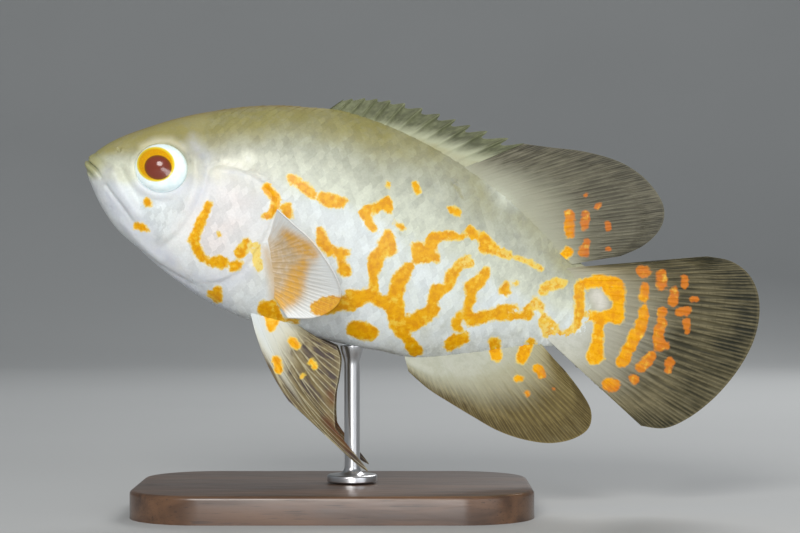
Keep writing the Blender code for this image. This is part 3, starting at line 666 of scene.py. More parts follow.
# Each stroke is a chain of points in the photograph, x, y and half its width
bodyMarks = strokes(
    ((291, 178, 4), (301, 184, 4), (311, 193, 4.5)), ((322, 197, 5), (330, 201, 6.5), (342, 202, 5)),
    ((388, 185, 3),), ((415, 184, 3.4), (417, 192, 3)), ((287, 207, 4.4), (288, 215, 4.4)),
    ((363, 213, 4), (368, 209, 5), (376, 208, 4.6), (386, 203, 6.2), (389, 210, 4)),
    ((366, 212, 5), (369, 223, 3.8), (374, 229, 2.5)), ((396, 224, 2.5), (403, 227, 3)),
    ((452, 209, 3.8), (458, 214, 3.2)), ((320, 231, 3.8), (323, 243, 5.6), (328, 250, 4.6)),
    ((336, 252, 4), (347, 253, 4)), ((341, 254, 4.5), (342, 263, 4), (345, 271, 6)),
    ((389, 234, 4.5), (384, 244, 6.5), (391, 247, 6.5), (384, 251, 6.2), (376, 260, 8), (375, 268, 6.2),
     (373, 277, 4), (374, 286, 3.6), (372, 295, 6.4), (362, 297, 6.5), (351, 304, 7), (340, 303, 7.5),
     (328, 306, 8), (320, 309, 7)), ((348, 293, 3), (357, 295, 3.5)),
    ((372, 296, 5), (380, 301, 6), (392, 304, 7)),
    ((418, 248, 6.5), (420, 257, 7), (429, 254, 5.5), (436, 258, 4)),
    ((429, 254, 5), (431, 243, 6.5), (433, 237, 5), (444, 236, 4.4), (455, 236, 3.6), (464, 237, 2)),
    ((470, 232, 5.5), (474, 236, 4)),
    ((483, 238, 5.2), (487, 242, 5.8), (483, 248, 4.5), (492, 249, 5), (501, 253, 5), (510, 256, 2.5)),
    ((517, 258, 1.6), (532, 264, 2.2), (541, 268, 2.2)),
    ((408, 268, 5.4), (400, 278, 7.8), (396, 291, 6.8), (394, 303, 8.8), (396, 319, 8.8), (400, 329, 7.6),
     (406, 338, 4.8), (416, 351, 7), (414, 357, 5)),
    ((400, 324, 7.6), (413, 323, 8), (424, 316, 8.2), (433, 310, 7), (431, 302, 4), (437, 291, 7),
     (447, 288, 4.5), (452, 275, 6.2), (459, 265, 4.2), (466, 261, 5.6), (471, 263, 3.4)),
    ((486, 272, 4.5), (478, 282, 6.6), (470, 286, 5.2), (471, 299, 5), (467, 308, 4), (468, 316, 5.4),
     (472, 321, 5.4), (483, 317, 5.4), (494, 314, 5.8), (500, 310, 4.4), (509, 307, 3.2), (516, 308, 2)),
    ((494, 316, 4.8), (510, 317, 3.4), (521, 316, 3.8), (529, 315, 4.8), (528, 309, 4), (536, 303, 5.2),
     (541, 307, 4)), ((459, 316, 4.2), (456, 325, 4.6), (462, 331, 2)), ((451, 344, 6.8), (463, 338, 6.2)),
    ((494, 342, 5.6), (496, 356, 5.2)), ((522, 358, 5.5), (532, 345, 6.8)),
    ((354, 329, 7.4), (363, 331, 9), (371, 333, 7.6)), ((507, 286, 4.4), (503, 290, 4), (508, 293, 3.5)),
    ((516, 283, 2.2),), ((543, 291, 4.6), (552, 285, 5.2), (563, 283, 4.2)),
    ((543, 322, 4.6), (548, 333, 5), (560, 337, 4.6), (571, 333, 4.8), (578, 325, 4.8)),
    ((545, 318, 3.6), (556, 327, 3)), ((270, 309, 9.2), (263, 308, 6.4), (273, 318, 6), (272, 328, 4.4)),
    ((276, 316, 3.6), (284, 320, 2.4), (298, 322, 1.6)), ((211, 294, 4), (217, 297, 5), (217, 290, 4)),
    ((257, 246, 2.6), (257, 256, 3.6), (258, 268, 3.4)),
    ((267, 188, 4.2), (273, 194, 4.6), (277, 204, 4.4), (271, 213, 4), (265, 217, 3)),
    ((208, 205, 3.8), (204, 216, 4.2), (198, 228, 4), (194, 240, 5), (197, 250, 4.6), (203, 258, 4)),
    ((213, 262, 4.8), (222, 262, 6.2)), ((233, 267, 5), (240, 263, 3.6)),
    ((241, 253, 5.6), (246, 244, 5.4)), ((219, 234, 2.4),), ((147, 203, 3.6),),
    ((137, 226, 3.6), (143, 228, 3.8), (147, 230, 2.2)), *ringStrokes,
)
tailMarks = strokes(
    *ringStrokes, ((607, 288, 5), (614, 296, 5)), ((642, 271, 6.1), (646, 272, 5.9)),
    ((645, 288, 5.3), (644, 298, 5.3)),
    ((644, 308, 4.9), (643, 318, 5.5), (639, 330, 6.5), (633, 341, 6.5), (623, 361, 6.7)),
    ((661, 274, 5.5), (661, 285, 5.5)), ((674, 292, 4.9), (673, 301, 5.3)), ((662, 312, 5.5),),
    ((661, 322, 5.1), (658, 336, 5.5), (660, 345, 6.7), (666, 345, 4.5)),
    ((651, 357, 5.5), (641, 367, 5.7)), ((634, 380, 5.5),), ((610, 385, 7.5), (613, 385, 7.5)),
    ((684, 277, 3.3), (684, 285, 3.3)), ((691, 299, 2.5), (697, 299, 2.3)),
    ((680, 312, 4.7), (687, 311, 4.7)), ((686, 323, 4.9), (687, 331, 3.7)),
    ((670, 362, 4.9), (669, 370, 3.7)), depth=0)
softDorsalMarks = strokes(
    ((569, 215, 5.3), (570, 233, 5.7)), ((585, 214, 3.9), (585, 226, 4.3)), ((598, 206, 3.9),),
    ((586, 195, 2.5),), ((586, 242, 3.9), (584, 252, 5.5)), ((564, 255, 5.1), (567, 252, 4.7)),
    ((607, 223, 2.5), (608, 229, 2.1)), ((609, 249, 2.7),), depth=0)
analMarks = strokes(((526, 345, 6.6), (522, 358, 5.6)), ((538, 369, 5), (541, 374, 4.8)),
                    ((517, 378, 3.6), (521, 378, 3)), ((527, 394, 3.2),), ((553, 388, 1.6),),
                    ((494, 342, 5.6), (496, 356, 5.2)), depth=0)
pelvicMarks = strokes(((272, 314, 7), (272, 322, 5.4), (270, 328, 3.6)), ((277, 361, 4.4), (278, 370, 4.2)),
                      ((292, 342, 3.4), (296, 347, 3)), ((312, 363, 2.6), (315, 367, 2.4)),
                      ((302, 376, 2.8),), depth=7)
pectoralWarmth = strokes(((272, 232, 7), (284, 240, 14), (300, 250, 15), (308, 256, 12)),
                         ((274, 258, 13), (290, 266, 17)), ((278, 280, 14), (290, 290, 14)),
                         ((278, 298, 9), (284, 306, 7)), depth=14)
pectoralGlow = strokes(((287, 234, 4), (297, 242, 7), (308, 250, 8.6), (314, 253, 6)),
                       ((305, 262, 5), (299, 272, 8), (295, 284, 9), (289, 297, 7.6)),
                       ((279, 296, 6), (277, 305, 8), (272, 311, 8)), depth=14)
pectoralMarks = strokes(((318, 308, 7), (326, 307, 10), (338, 305, 10), (350, 304, 8)),
                        ((270, 309, 9.2), (263, 308, 6.4)), depth=14)
ringGlow = strokes(((597, 296, 7), (601, 304, 6)), depth=0)
baseWarmth = strokes(((266, 250, 3), (270, 264, 5), (275, 280, 6), (276, 298, 6)), depth=9.5)
yellowMarks = strokes(((257, 246, 7), (258, 270, 7)))
wornMarks = strokes(((500, 254, 5), (520, 260, 6), (545, 270, 8)), ((541, 291, 6), (565, 283, 7)),
                    ((536, 303, 5), (545, 320, 7), (552, 334, 8), (574, 331, 6)),
                    ((456, 262, 4), (470, 262, 5)), ((516, 283, 6),))
pelvicWarmth = strokes(((327, 420, 1.2), (336, 431, 1.8), (350, 447, 1.6)),
                       ((331, 394, 1.2), (332, 402, 0.8)), depth=7)
pelvicShades = strokes(((312, 334, 3), (324, 338, 4.4), (336, 346, 4.4)),
                       ((306, 346, 3), (318, 352, 3.6), (332, 358, 3)), ((294, 353, 3), (302, 360, 3.4)),
                       ((290, 374, 2), (293, 368, 2)), ((318, 370, 2), (334, 378, 2)),
                       ((346, 450, 2), (362, 464, 3)), depth=7)
# Lavender strokes: a real lavender tint along the lower jaw and throat, and painted shade beside the jaw's
# ridge, under and behind the eye and in the creases of the gill cover and throat
lavenderAndShade = strokes(((100, 186, 6), (112, 203, 8), (130, 226, 9), (150, 246, 9), (172, 262, 6)),
                     ((107, 174, 2.5), (114, 189, 3.6), (126, 205, 4), (140, 220, 4), (152, 232, 3)),
                     ((150, 264, 7), (186, 286, 8), (222, 306, 7)),
                     ((142, 188, 2), (158, 196, 2.4), (176, 193, 2.4), (190, 181, 3)),
                     ((192, 142, 2), (207, 160, 2.5), (206, 186, 2.5), (194, 206, 1.5)),
                     ((228, 172, 1.6), (262, 181, 1.4)), ((180, 275, 3), (228, 282, 3), (254, 270, 2)))
creamPatches = strokes(((142, 146, 1), (156, 141, 2.2), (170, 141, 2.6), (182, 148, 1.6)), ((248, 158, 5),),
                       ((226, 164, 2.5), (242, 164, 3)), ((256, 262, 3.5), (258, 270, 3)), ((253, 245, 2),))
# Pale hazes with less olive and grey, on the back and the gill cover, and a painted highlight on the cheek
paleHazesAndHighlight = strokes(((500, 176, 8), (508, 194, 9)), ((160, 215, 12), (190, 226, 10)),
                    ((222, 200, 14), (246, 215, 12)))
paleSpots = strokes(((248, 158, 4.5),), ((223, 163, 2.5), (240, 164, 2.5)), ((255, 262, 4.5), (258, 268, 4)))
darkSpots = strokes(((219, 160, 2.2),), ((181, 141, 0.8), (188, 151, 0.9), (191, 162, 0.8)),
                    ((192, 137, 1.6), (197, 139, 1.4)), ((239, 117, 2), (246, 116, 1.4)),
                    ((270, 141, 1.8),), ((311, 138, 1.8),), ((401, 169, 1.6),),
                    ((455, 184, 4), (461, 196, 3)), ((398, 232, 1.2),))

head = {
    # the mouth's line from the snout to its corner, and the lips on it
    "mouth": ((0.3, 0.0, 1.15), (0.6, 1.4, 1.0), (1.2, 2.7, 0.62), (2.3, 3.9, 0.05), (3.3, 4.7, -0.7),
              (4.4, 5.3, -1.9)),
    "lipAt": 0.8, "upperLip": 0.34, "lowerLip": 0.4, "lipWidth": 0.75, "mouthDepth": 0.8, "mouthWidth": 0.24,
    # lines of the folds, each with its width and height below
    "jawBone": ((5.8, 0.8), (7.2, -0.8), (9.6, -3.6), (12.2, -5.9), (15.2, -8.9)),
    "jawGroove": ((5.4, -2.8), (7.6, -4.6), (10.4, -6.6), (13.2, -8.8), (15.8, -11.2)),
    "jawLine": ((10.0, -9.0), (14.0, -11.8), (18.0, -14.2), (22.6, -16.4)),
    "cheekEdge": ((22.6, 9.0), (24.4, 5.6), (24.8, 1.0), (24.0, -4.0), (22.2, -8.6), (19.0, -12.4)),
    "eyeFold": ((15.4, 10.3), (19.2, 9.6), (22.4, 7.4), (23.9, 4.0), (23.6, 0.6)),
    "undereye": ((10.2, 0.2), (12.2, -2.6), (16.0, -4.0), (20.2, -3.4), (22.8, -1.0)),
    "throat": ((8.6, -12.6), (16.0, -15.0), (22.0, -17.3), (28.0, -18.9), (33.0, -19.8)),
    "gillCover": ((27.3, 6.4), (30.6, 7.7), (34.6, 7.7), (38.6, 6.6), (41.6, 4.3), (42.9, 1.4),
                  (42.6, -2.0), (41.9, -6.0), (40.7, -10.0), (38.6, -13.8), (35.6, -16.6), (31.6, -17.9),
                  (27.6, -17.6), (24.4, -15.6), (23.9, -12.0), (25.6, -7.6), (26.6, -2.6), (26.8, 2.0)),
    "folds": (
        ("jawBone", 1.4, 0.6, {"lopsided": -0.2, "groove": (2.0, 0.8, 0.35), "ends": (0.2, 0.85)}),
        ("jawGroove", 0.45, -0.3, {"ends": (0.1, 0.6)}),
        ("jawLine", 0.9, 0.3, {}),
        ("cheekEdge", 1.4, 0.75, {"lopsided": 0.25, "groove": (2.0, 0.7, 0.26)}),
        ("eyeFold", 1.5, 0.6, {"ends": (0.25, 0.7)}),
        ("undereye", 1.0, -0.35, {"ends": (0.3, 0.7)}),
        ("throat", 0.5, -0.22, {})),
    "coverRise": 0.4, "coverGroove": 0.12, "coverTopGroove": 0.32,
    "socket": (5.76, 5.3, 2.6), "socketRim": 0.14,  # two radii and the depth
    "nostril": (6.6, 4.9, 0.42),
    "pores": ((8.9, 7.4), (10.4, 4.2), (9.0, 1.8), (8.0, -7.6), (11.4, -9.8), (15.0, -12.0), (25.9, 8.6),
              (30.2, 9.4)),
}
eye = {
    "centre": (16.8, 7.0, 3.44), "radii": (5.9, 5.3, 3.1), "turn": math.radians(8), "lift": math.radians(8),
    # u, v and the two radii in the side view
    "iris": (15.5, 3.92, 4.15, 3.68), "pupil": (16.26, 3.36, 2.78, 2.45),
    "white": ((0.76, 0.90, 0.92), (0.88, 0.97, 0.97)), "gold": ((0.60, 0.25, 0.0), (0.66, 0.36, 0.0)),
    "irisRim": (0.76, 0.60, 0.03), "pupilRim": (0.17, 0.05, 0.01), "pupilRed": (0.17, 0.035, 0.02),
    "lens": 0.3, "coat": 0.35, "coatRough": 0.05,
}


# A copy that lies on the left side
def oneSided(vectors):
    vectors = vectors.copy()
    vectors[:, 1] = np.abs(vectors[:, 1])
    return vectors


# Lips along the mouth's line, which is laid onto the skin first.
# Gives the rise and how much of the lips' colour there is.
def mouthRelief(side, normals):
    mouth = smoothLine(head["mouth"], 60)
    for point in mouth:
        point[:] = side[np.argmin(((side - point) ** 2).sum(1))]
    for _ in range(6):
        mouth[1:-1] = (mouth[:-2] + 2 * mouth[1:-1] + mouth[2:]) / 4
    d, share, _ = nearLine(side, mouth)
    at = np.minimum((share * 59).astype(int), 58)
    run = mouth[at + 1] - mouth[at]
    above = np.sign((np.cross(run, oneSided(normals)) * (side - mouth[at])).sum(1))
    s = d * np.where(above == 0, 1, above)
    fade = 1 - smooth(0.6, 1.0, share) * 0.85
    height = np.where(s > 0, head["upperLip"], head["lowerLip"])
    lip = hump(np.abs(s) - head["lipAt"], head["lipWidth"]) * height * fade
    lip -= hump(np.abs(s) - head["lipAt"] - 1.3, 0.45) * 0.12 * fade
    lip -= hump(s, head["mouthWidth"]) * head["mouthDepth"] * (1 - smooth(0.85, 1.05, share) * 0.5)
    tone = np.maximum(hump(s + 1.2, 1.9), 0.75 * hump(s - 0.8, 2.6))
    return lip, tone * (1 - smooth(0.6, 1.0, share) * 0.8)


# One fold along a line, with a groove beside it at a distance, a width and a depth
def foldRelief(flat, line, width, height, lopsided=0.0, groove=None, ends=(0.15, 0.85)):
    points = smoothLine(line, 24)
    rise = np.zeros(len(flat))
    pick = np.where(((flat > points.min(0) - 6) & (flat < points.max(0) + 6)).all(1))[0]
    d, share, sign = nearLine(flat[pick], points)
    fade = smooth(0.0, ends[0], share) * (1 - smooth(ends[1], 1.0, share))
    rise[pick] = height * hump(d, width * (1 + lopsided * sign)) * fade
    if groove:
        rise[pick] -= groove[2] * hump(d * sign - groove[0], groove[1]) * fade
    return rise


def skinRelief(places, normals):
    side = oneSided(places)
    flat = side[:, [0, 2]]
    rise = np.zeros(len(places))
    lips = np.zeros(len(places))
    near = np.where(flat[:, 0] < 12)[0]
    rise[near], lips[near] = mouthRelief(side[near], normals[near])
    for line, width, height, more in head["folds"]:
        rise += foldRelief(flat, head[line], width, height, **more)

    # gill cover, a raised plate with a free rear edge
    outline = head["gillCover"]
    closed = outline[-1:] + outline + outline[:2]
    line = smoothLine(closed, 200)
    line = line[int(200 / (len(closed) - 1)):int(200 * (len(closed) - 2) / (len(closed) - 1)) + 2]
    line = np.vstack([line, line[:1]])
    pick = np.where((flat[:, 0] > 20) & (flat[:, 0] < 47))[0]
    d, _ = nearOutline(flat[pick], line)
    behind = smooth(27, 37, flat[pick, 0])
    rise[pick] += head["coverRise"] * smooth(mix(2.0, 0.4, behind), mix(-2.2, -0.7, behind), d)
    rise[pick] -= head["coverGroove"] * behind * hump(d - 0.5, 0.4)
    rise[pick] -= head["coverTopGroove"] * hump(d, 0.35) * smooth(5.0, 6.6, flat[pick, 1])

    # socket that the eye sits in, with a soft rim
    long, high, depth = head["socket"]
    du, dv = flat[:, 0] - eye["centre"][0], flat[:, 1] - eye["centre"][2]
    ringed = np.hypot(du / long, dv / high)
    rise += head["socketRim"] * hump((ringed - 1.15) * 5.5, 0.7) - depth * (1 - smooth(0.9, 1.02, ringed))

    # nostril pit with its rim, and the head's small pores
    u, v, radius = head["nostril"]
    d = np.hypot(flat[:, 0] - u, flat[:, 1] - v)
    rise += 0.14 * hump(d - radius * 1.6, 0.3) - 0.6 * hump(d, radius)
    for u, v in head["pores"]:
        rise -= 0.14 * hump(np.hypot(flat[:, 0] - u, flat[:, 1] - v), 0.22)
    return rise, lips


# The flesh that runs up into the fins' roots along the back and the belly
sheaths = {
    "back": ((44, 0.0), (50, 0.5), (80, 0.9), (88, 1.5), (104, 1.5), (110, 0.3), (113, 0.0)),
    "belly": ((73, 0.0), (80, 1.0), (100, 1.5), (106, 0.8), (110, 0.0)),
    "width": 1.5,
}


def sheathRise(places):
    middle = hump(places[:, 1], sheaths["width"])
    _, top, bottom, _ = np.moveaxis(along(body["stations"], shareAt(places[:, 0])), -1, 0)
    upper = places[:, 2] > mix(bottom, top, body["widestLevel"])
    u = places[:, 0]
    return middle * np.where(upper, readTable(sheaths["back"], u), -readTable(sheaths["belly"], u))


# How high a place lies between the belly line and the back line
def levelAt(places):
    _, top, bottom, _ = np.moveaxis(along(body["stations"], shareAt(places[:, 0])), -1, 0)
    return (places[:, 2] - bottom) / np.maximum(top - bottom, 0.1)


# Tables along u: how strong the back's olive is, and the levels where it sets in and is full
olives = {
    "strength": ((0, 1.04), (10, 1.04), (24, 1.0), (46, 0.98), (62, 0.99), (70, 0.86), (76, 0.76),
                 (84, 0.84), (90, 0.76), (108, 0.8)),
    "from": ((10, 0.44), (26, 0.46), (40, 0.5), (62, 0.5), (84, 0.42), (100, 0.35)),
    "full": ((10, 0.86), (26, 0.9), (40, 0.98), (62, 0.98), (84, 0.98), (100, 0.92)),
    "nape": 0.25, "snout": 0.5, "lips": 0.36, "rear": 0.1,
}
# Shares of grey in each part; the grey of the snout and of the rear belly is painted shade. The saddle lies
# below the soft dorsal fin.
greys = {
    "all": 0.14, "upper": 0.2, "jaw": 0.35, "saddle": 0.25, "snout": 0.5,
    "rearBellyShade": 0.65, "rearFlank": 0.24,
}
blushes = {"cheek": 0.8, "belly": 0.1}


# How olive, pink and grey the skin is at a place; part of the grey is painted shade, and the cheek's pale
# haze is a painted highlight
def zonesAt(places):
    u, v = places[:, 0], places[:, 2]
    level = np.clip(levelAt(places), 0, 1.2)
    olive = smooth(readTable(olives["from"], u), readTable(olives["full"], u), level)
    olive = olive * readTable(olives["strength"], u)
    olive += olives["nape"] * smooth(0.84, 1.0, level) * (1 - smooth(20, 44, u))
    snout = olives["snout"] * (1 - smooth(7, 16, u)) + olives["lips"] * (1 - smooth(1, 6, u))
    olive = np.maximum(olive, snout * smooth(-3.5, 1.0, v))
    olive += olives["rear"] * smooth(62, 76, u) * smooth(0.75, 0.5, level)
    blush = blushes["cheek"] * hump((u - 33) / 9, 1.0) * hump((v + 4) / 11, 1.0)
    blush += blushes["belly"] * smooth(0.35, 0.0, level)
    grey = greys["upper"] * smooth(0.5, 0.85, level) + greys["all"] * smooth(0.0, 0.3, level)
    grey += greys["jaw"] * (1 - smooth(10, 20, u)) * smooth(-1, -8, v)
    grey += greys["saddle"] * hump((u - 78) / 12, 1.0) * hump((v - 14) / 6, 1.0)
    # painted shade: the snout greyer towards its tip and lower side
    grey += greys["snout"] * (1 - smooth(2, 11, u)) * smooth(7, 1, v)
    # painted shade on the lower rear belly
    grey += greys["rearBellyShade"] * smooth(0.3, 0.0, level) * smooth(68, 86, u)
    grey += greys["rearFlank"] * smooth(78, 94, u) * smooth(0.3, 0.6, level)
    left = flatSide(places)
    dark, pale = nearBlots(left, darkSpots), nearBlots(left, paleSpots)
    # the pale hazes lighten the skin; the one on the cheek is a painted highlight
    haze = smooth(3.6, -2.6, nearBlots(left, paleHazesAndHighlight))
    grey *= 1 - 0.8 * haze
    olive *= 1 - 0.7 * haze
    grey = np.maximum(grey, 1.2 * smooth(0.5, -0.4, dark))
    olive = np.maximum(olive, 0.9 * smooth(0.4, -0.4, dark)) * (1 - 0.75 * smooth(1.2, -0.8, pale))
    grey *= 1 - 0.8 * smooth(1.2, -0.8, pale)
    return np.clip(np.stack((olive, blush, grey), 1), 0, 1)


# Where a place lies among the markings: the far side has strokes of the same kind, moved and stretched
def flatSide(places):
    u, v = places[:, 0], places[:, 2]
    far = np.stack((u * 0.97 + 2.4 * np.sin(v / 7.0) + 1.4, v + 1.8 * np.sin(u / 8.5 + 1.0)), 1)
    left = places[:, 1] <= 0
    return np.where(left[:, None], np.stack((u, v), 1), far)


def marksAt(places):
    return nearBlots(flatSide(places), bodyMarks) + 4.0 * hump(places[:, 1], 0.6)


def paintSkin(mesh, places):
    left = flatSide(places)
    addColours(mesh, "zones", zonesAt(places))
    # cool holds the lavender tint and the painted shade
    addValues(mesh, "cool", smooth(2.6, -2.0, nearBlots(left, lavenderAndShade)))
    addValues(mesh, "cream", smooth(1.4, -1.2, nearBlots(left, creamPatches)))
    worn = smooth(1.0, -0.6, nearBlots(left, wornMarks))
    yellow = smooth(0.6, 0.0, nearBlots(left, yellowMarks))
    addValues(mesh, "worn", np.maximum(worn, 4 * yellow))
    addValues(mesh, "tan", smooth(1.2, -1.2, nearBlots(left, baseWarmth)))


# The thin orange-brown rim along the forehead and nape
def rimAt(places):
    u = places[:, 0]
    top = 0.45 * hump(places[:, 1], 2.0) * smooth(0.9, 0.97, levelAt(places))
    return top * smooth(3, 8, u) * (1 - smooth(38, 50, u))


def makeSkin():
    columns = body["columns"]
    dense = np.linspace(0, 1, 12001)
    lines = [bodySurface(dense, np.full_like(dense, a)) for a in (0.0, math.pi / 2, math.pi)]
    steps = np.max([np.linalg.norm(np.diff(line, axis=0), axis=1) for line in lines], 0)
    u = lines[0][:-1, 0]
    target = readTable(body["rowSteps"], u)
    total = np.concatenate([[0], np.cumsum(steps / target)])
    rows = int(total[-1])
    shares = np.interp(np.linspace(0, total[-1], rows + 1)[1:-1], total, dense)
    half = columns // 2
    angles = np.linspace(0, math.pi, 401)
    grid = np.empty((len(shares), columns, 3))
    for k, share in enumerate(shares):
        ring = bodySurface(np.full(401, share), angles)
        length = np.concatenate([[0], np.cumsum(np.linalg.norm(np.diff(ring, axis=0), axis=1))])
        even = np.interp(np.linspace(0, length[-1], half + 1), length, angles)
        ring = bodySurface(np.full(half + 1, share), even)
        grid[k, :half + 1] = ring
        grid[k, half + 1:] = ring[1:half][::-1] * (1, -1, 1)
    lengthwise = np.gradient(grid, axis=0)
    around = np.roll(grid, -1, 1) - np.roll(grid, 1, 1)
    normal = np.cross(around, lengthwise)
    normal /= np.linalg.norm(normal, axis=2, keepdims=True) + 1e-12
    places, normals = grid.reshape(-1, 3), normal.reshape(-1, 3)
    outwardness = (normals[:, 1] * places[:, 1]).mean()
    if outwardness < 0:
        normals = -normals
    rise, lips = skinRelief(places, normals)
    coated = smooth(20, 27, places[:, 0])
    rise -= body["coatDepth"] * coated
    moved = places + normals * rise[:, None]
    moved[:, 2] += sheathRise(places)
    jut = (1 - smooth(0.0, 3.2, places[:, 0])) * mix(-0.55, -0.2, smooth(1.0, 1.3, places[:, 2]))
    moved[:, 0] += jut

    bpy.ops.mesh.primitive_uv_sphere_add(segments=columns, ring_count=len(shares) + 1, radius=1)
    skin = takeActive("skin")
    start = readPoints(skin.data)
    polar = np.arccos(np.clip(start[:, 2], -1, 1)) / math.pi * (len(shares) + 1)
    ringIndex = np.rint(polar).astype(int)
    turn = np.rint(np.arctan2(start[:, 1], start[:, 0]) / math.tau * columns).astype(int) % columns
    final = np.empty_like(start)
    lipValues = np.zeros(len(start))
    between = (ringIndex > 0) & (ringIndex < len(shares) + 1)
    at = (ringIndex[between] - 1) * columns + turn[between]
    final[between] = moved[at]
    lipValues[between] = lips[at]
    final[ringIndex == 0] = moved[:columns].mean(0)
    final[ringIndex == len(shares) + 1] = (body["stations"][-1][0], 0, body["stations"][-1][1])
    writePoints(skin.data, toModel(final))
    addValues(skin.data, "mark", marksAt(final))
    paintSkin(skin.data, final)
    addValues(skin.data, "lips", lipValues)
    addValues(skin.data, "rim", rimAt(final))
    skin.data.uv_layers[0].name = "OFBake"
    turnOutwards(skin)
    finishPiece(skin, skinMaterial, "skin", "head", "lower_jaw", "gill_cover_left", "gill_cover_right",
                "trunk", "tail_stalk", angle=180)
    shaped = moved.reshape(grid.shape)
    lengthwise = np.gradient(shaped, axis=0)
    around = np.roll(shaped, -1, 1) - np.roll(shaped, 1, 1)
    normal = np.cross(around, lengthwise) * (-1 if outwardness < 0 else 1)
    normal /= np.linalg.norm(normal, axis=2, keepdims=True) + 1e-12
    return {"points": shaped, "normals": normal, "u": grid[:, 0, 0], "columns": columns,
            "arc": np.linalg.norm(np.diff(grid[:, :half + 1], axis=1), axis=2).sum(1)}


skinGrid = makeSkin()


# A point of the skin at u and at a distance along its girth from the widest line, on one side
def onSkin(u, girth, side, lift=0.0):
    rows = np.interp(u, skinGrid["u"], np.arange(len(skinGrid["u"])))
    low = np.minimum(rows.astype(int), len(skinGrid["u"]) - 2)
    t = (rows - low)[..., None]
    half = skinGrid["columns"] // 2
    arc = np.interp(rows, np.arange(len(skinGrid["arc"])), skinGrid["arc"])
    middle = arc * 0.49
    column = np.clip((middle - girth) / arc, 0, 1) * half
    left = np.minimum(column.astype(int), half - 1)
    s = (column - left)[..., None]
    a, b = left, left + 1
    if side < 0:
        a, b = -left % skinGrid["columns"], (-left - 1) % skinGrid["columns"]

    def read(table):
        return mix(mix(table[low, a], table[low, b], s), mix(table[low + 1, a], table[low + 1, b], s), t)

    normal = read(skinGrid["normals"])
    normal /= np.linalg.norm(normal, axis=-1, keepdims=True) + 1e-12
    place = read(skinGrid["points"]) + normal * np.asarray(lift)[..., None]
    mapU = np.where(side < 0, 1 - column / half / 2, column / half / 2)
    mapV = 1 - (rows + 1) / (len(skinGrid["u"]) + 1)
    return place, np.stack((mapU, mapV), -1), arc


scales = {
    "pitch": ((20, 1.45), (46, 1.85), (90, 1.65), (112, 1.2)),
    "rowStep": 1.42, "reach": (23.0, 114.5),
    "across": 5, "lengthwise": 4, "overlap": 1.06,
    "proud": 0.11, "rim": 0.045,
    "patch": 0.003,
    "wholeMark": 0.12,  # how far a scale's colour is one with that at its centre
    "seed": 7,
    "gill": {"pitch": ((20, 1.75), (46, 1.75)), "rowStep": 1.3, "proud": 0.08, "reach": (24.0, 43.0)},
    "cheek": {"pitch": ((10, 1.2), (30, 1.2)), "rowStep": 0.95, "proud": 0.06, "reach": (12.0, 25.0)},
}


# One plate: how far along, across and up each of its points lies.
# Its root is sunk in the skin and its rear rim turns down.
def scaleTemplate(proud):
    na, nb = scales["lengthwise"], scales["across"]
    t = np.linspace(0, 1, na)[:, None] * np.ones(nb)
    b = np.linspace(-1, 1, nb)[None, :] * np.ones((na, 1))
    reach = mix(-0.45, 1.12 - 0.5 * b**2, t)
    across = b * mix(0.85, 1.0, np.sin(t * math.pi * 0.8))
    height = mix(-0.9, 1.0, t**0.85) * (1 - 0.55 * b**2) + 0.1 * (1 - b**2)
    reach = np.vstack([reach, reach[-1:] - 0.03])
    across = np.vstack([across, across[-1:] * 0.98])
    height = np.vstack([height, np.full((1, nb), -scales["rim"] / proud)])
    rim = np.concatenate([t[:, 0], [1.0]])[:, None] * np.ones(nb)
    faces = [(k, k + nb, k + nb + 1, k + 1) for i in range(na) for k in range(i * nb, i * nb + nb - 1)]
    return {"along": reach.ravel(), "across": across.ravel(), "height": height.ravel(),
            "rim": rim.ravel(), "faces": faces, "centre": 2 * nb + nb // 2}


# Joins plates into one object, each plate a small patch of the map at its root's place
def platesObject(name, places, template, flip, uv, tint):
    count, per = places.shape[:2]
    faces = np.array(template["faces"])
    if flip:
        faces = faces[:, ::-1]
    faces = (np.arange(count)[:, None, None] * per + faces[None]).reshape(-1, 4)
    mesh = bpy.data.meshes.new(name)
    mesh.from_pydata(toModel(places.reshape(-1, 3)).tolist(), [], faces.tolist())
    made = bpy.data.objects.new(name, mesh)
    bpy.context.scene.collection.objects.link(made)
    addValues(mesh, "tint", np.repeat(tint, per))
    layer = mesh.uv_layers.new(name="OFBake")
    loops = np.empty(len(mesh.loops), int)
    mesh.loops.foreach_get("vertex_index", loops)
    layer.data.foreach_set("uv", uv.reshape(-1, 2)[loops].ravel())
    return made


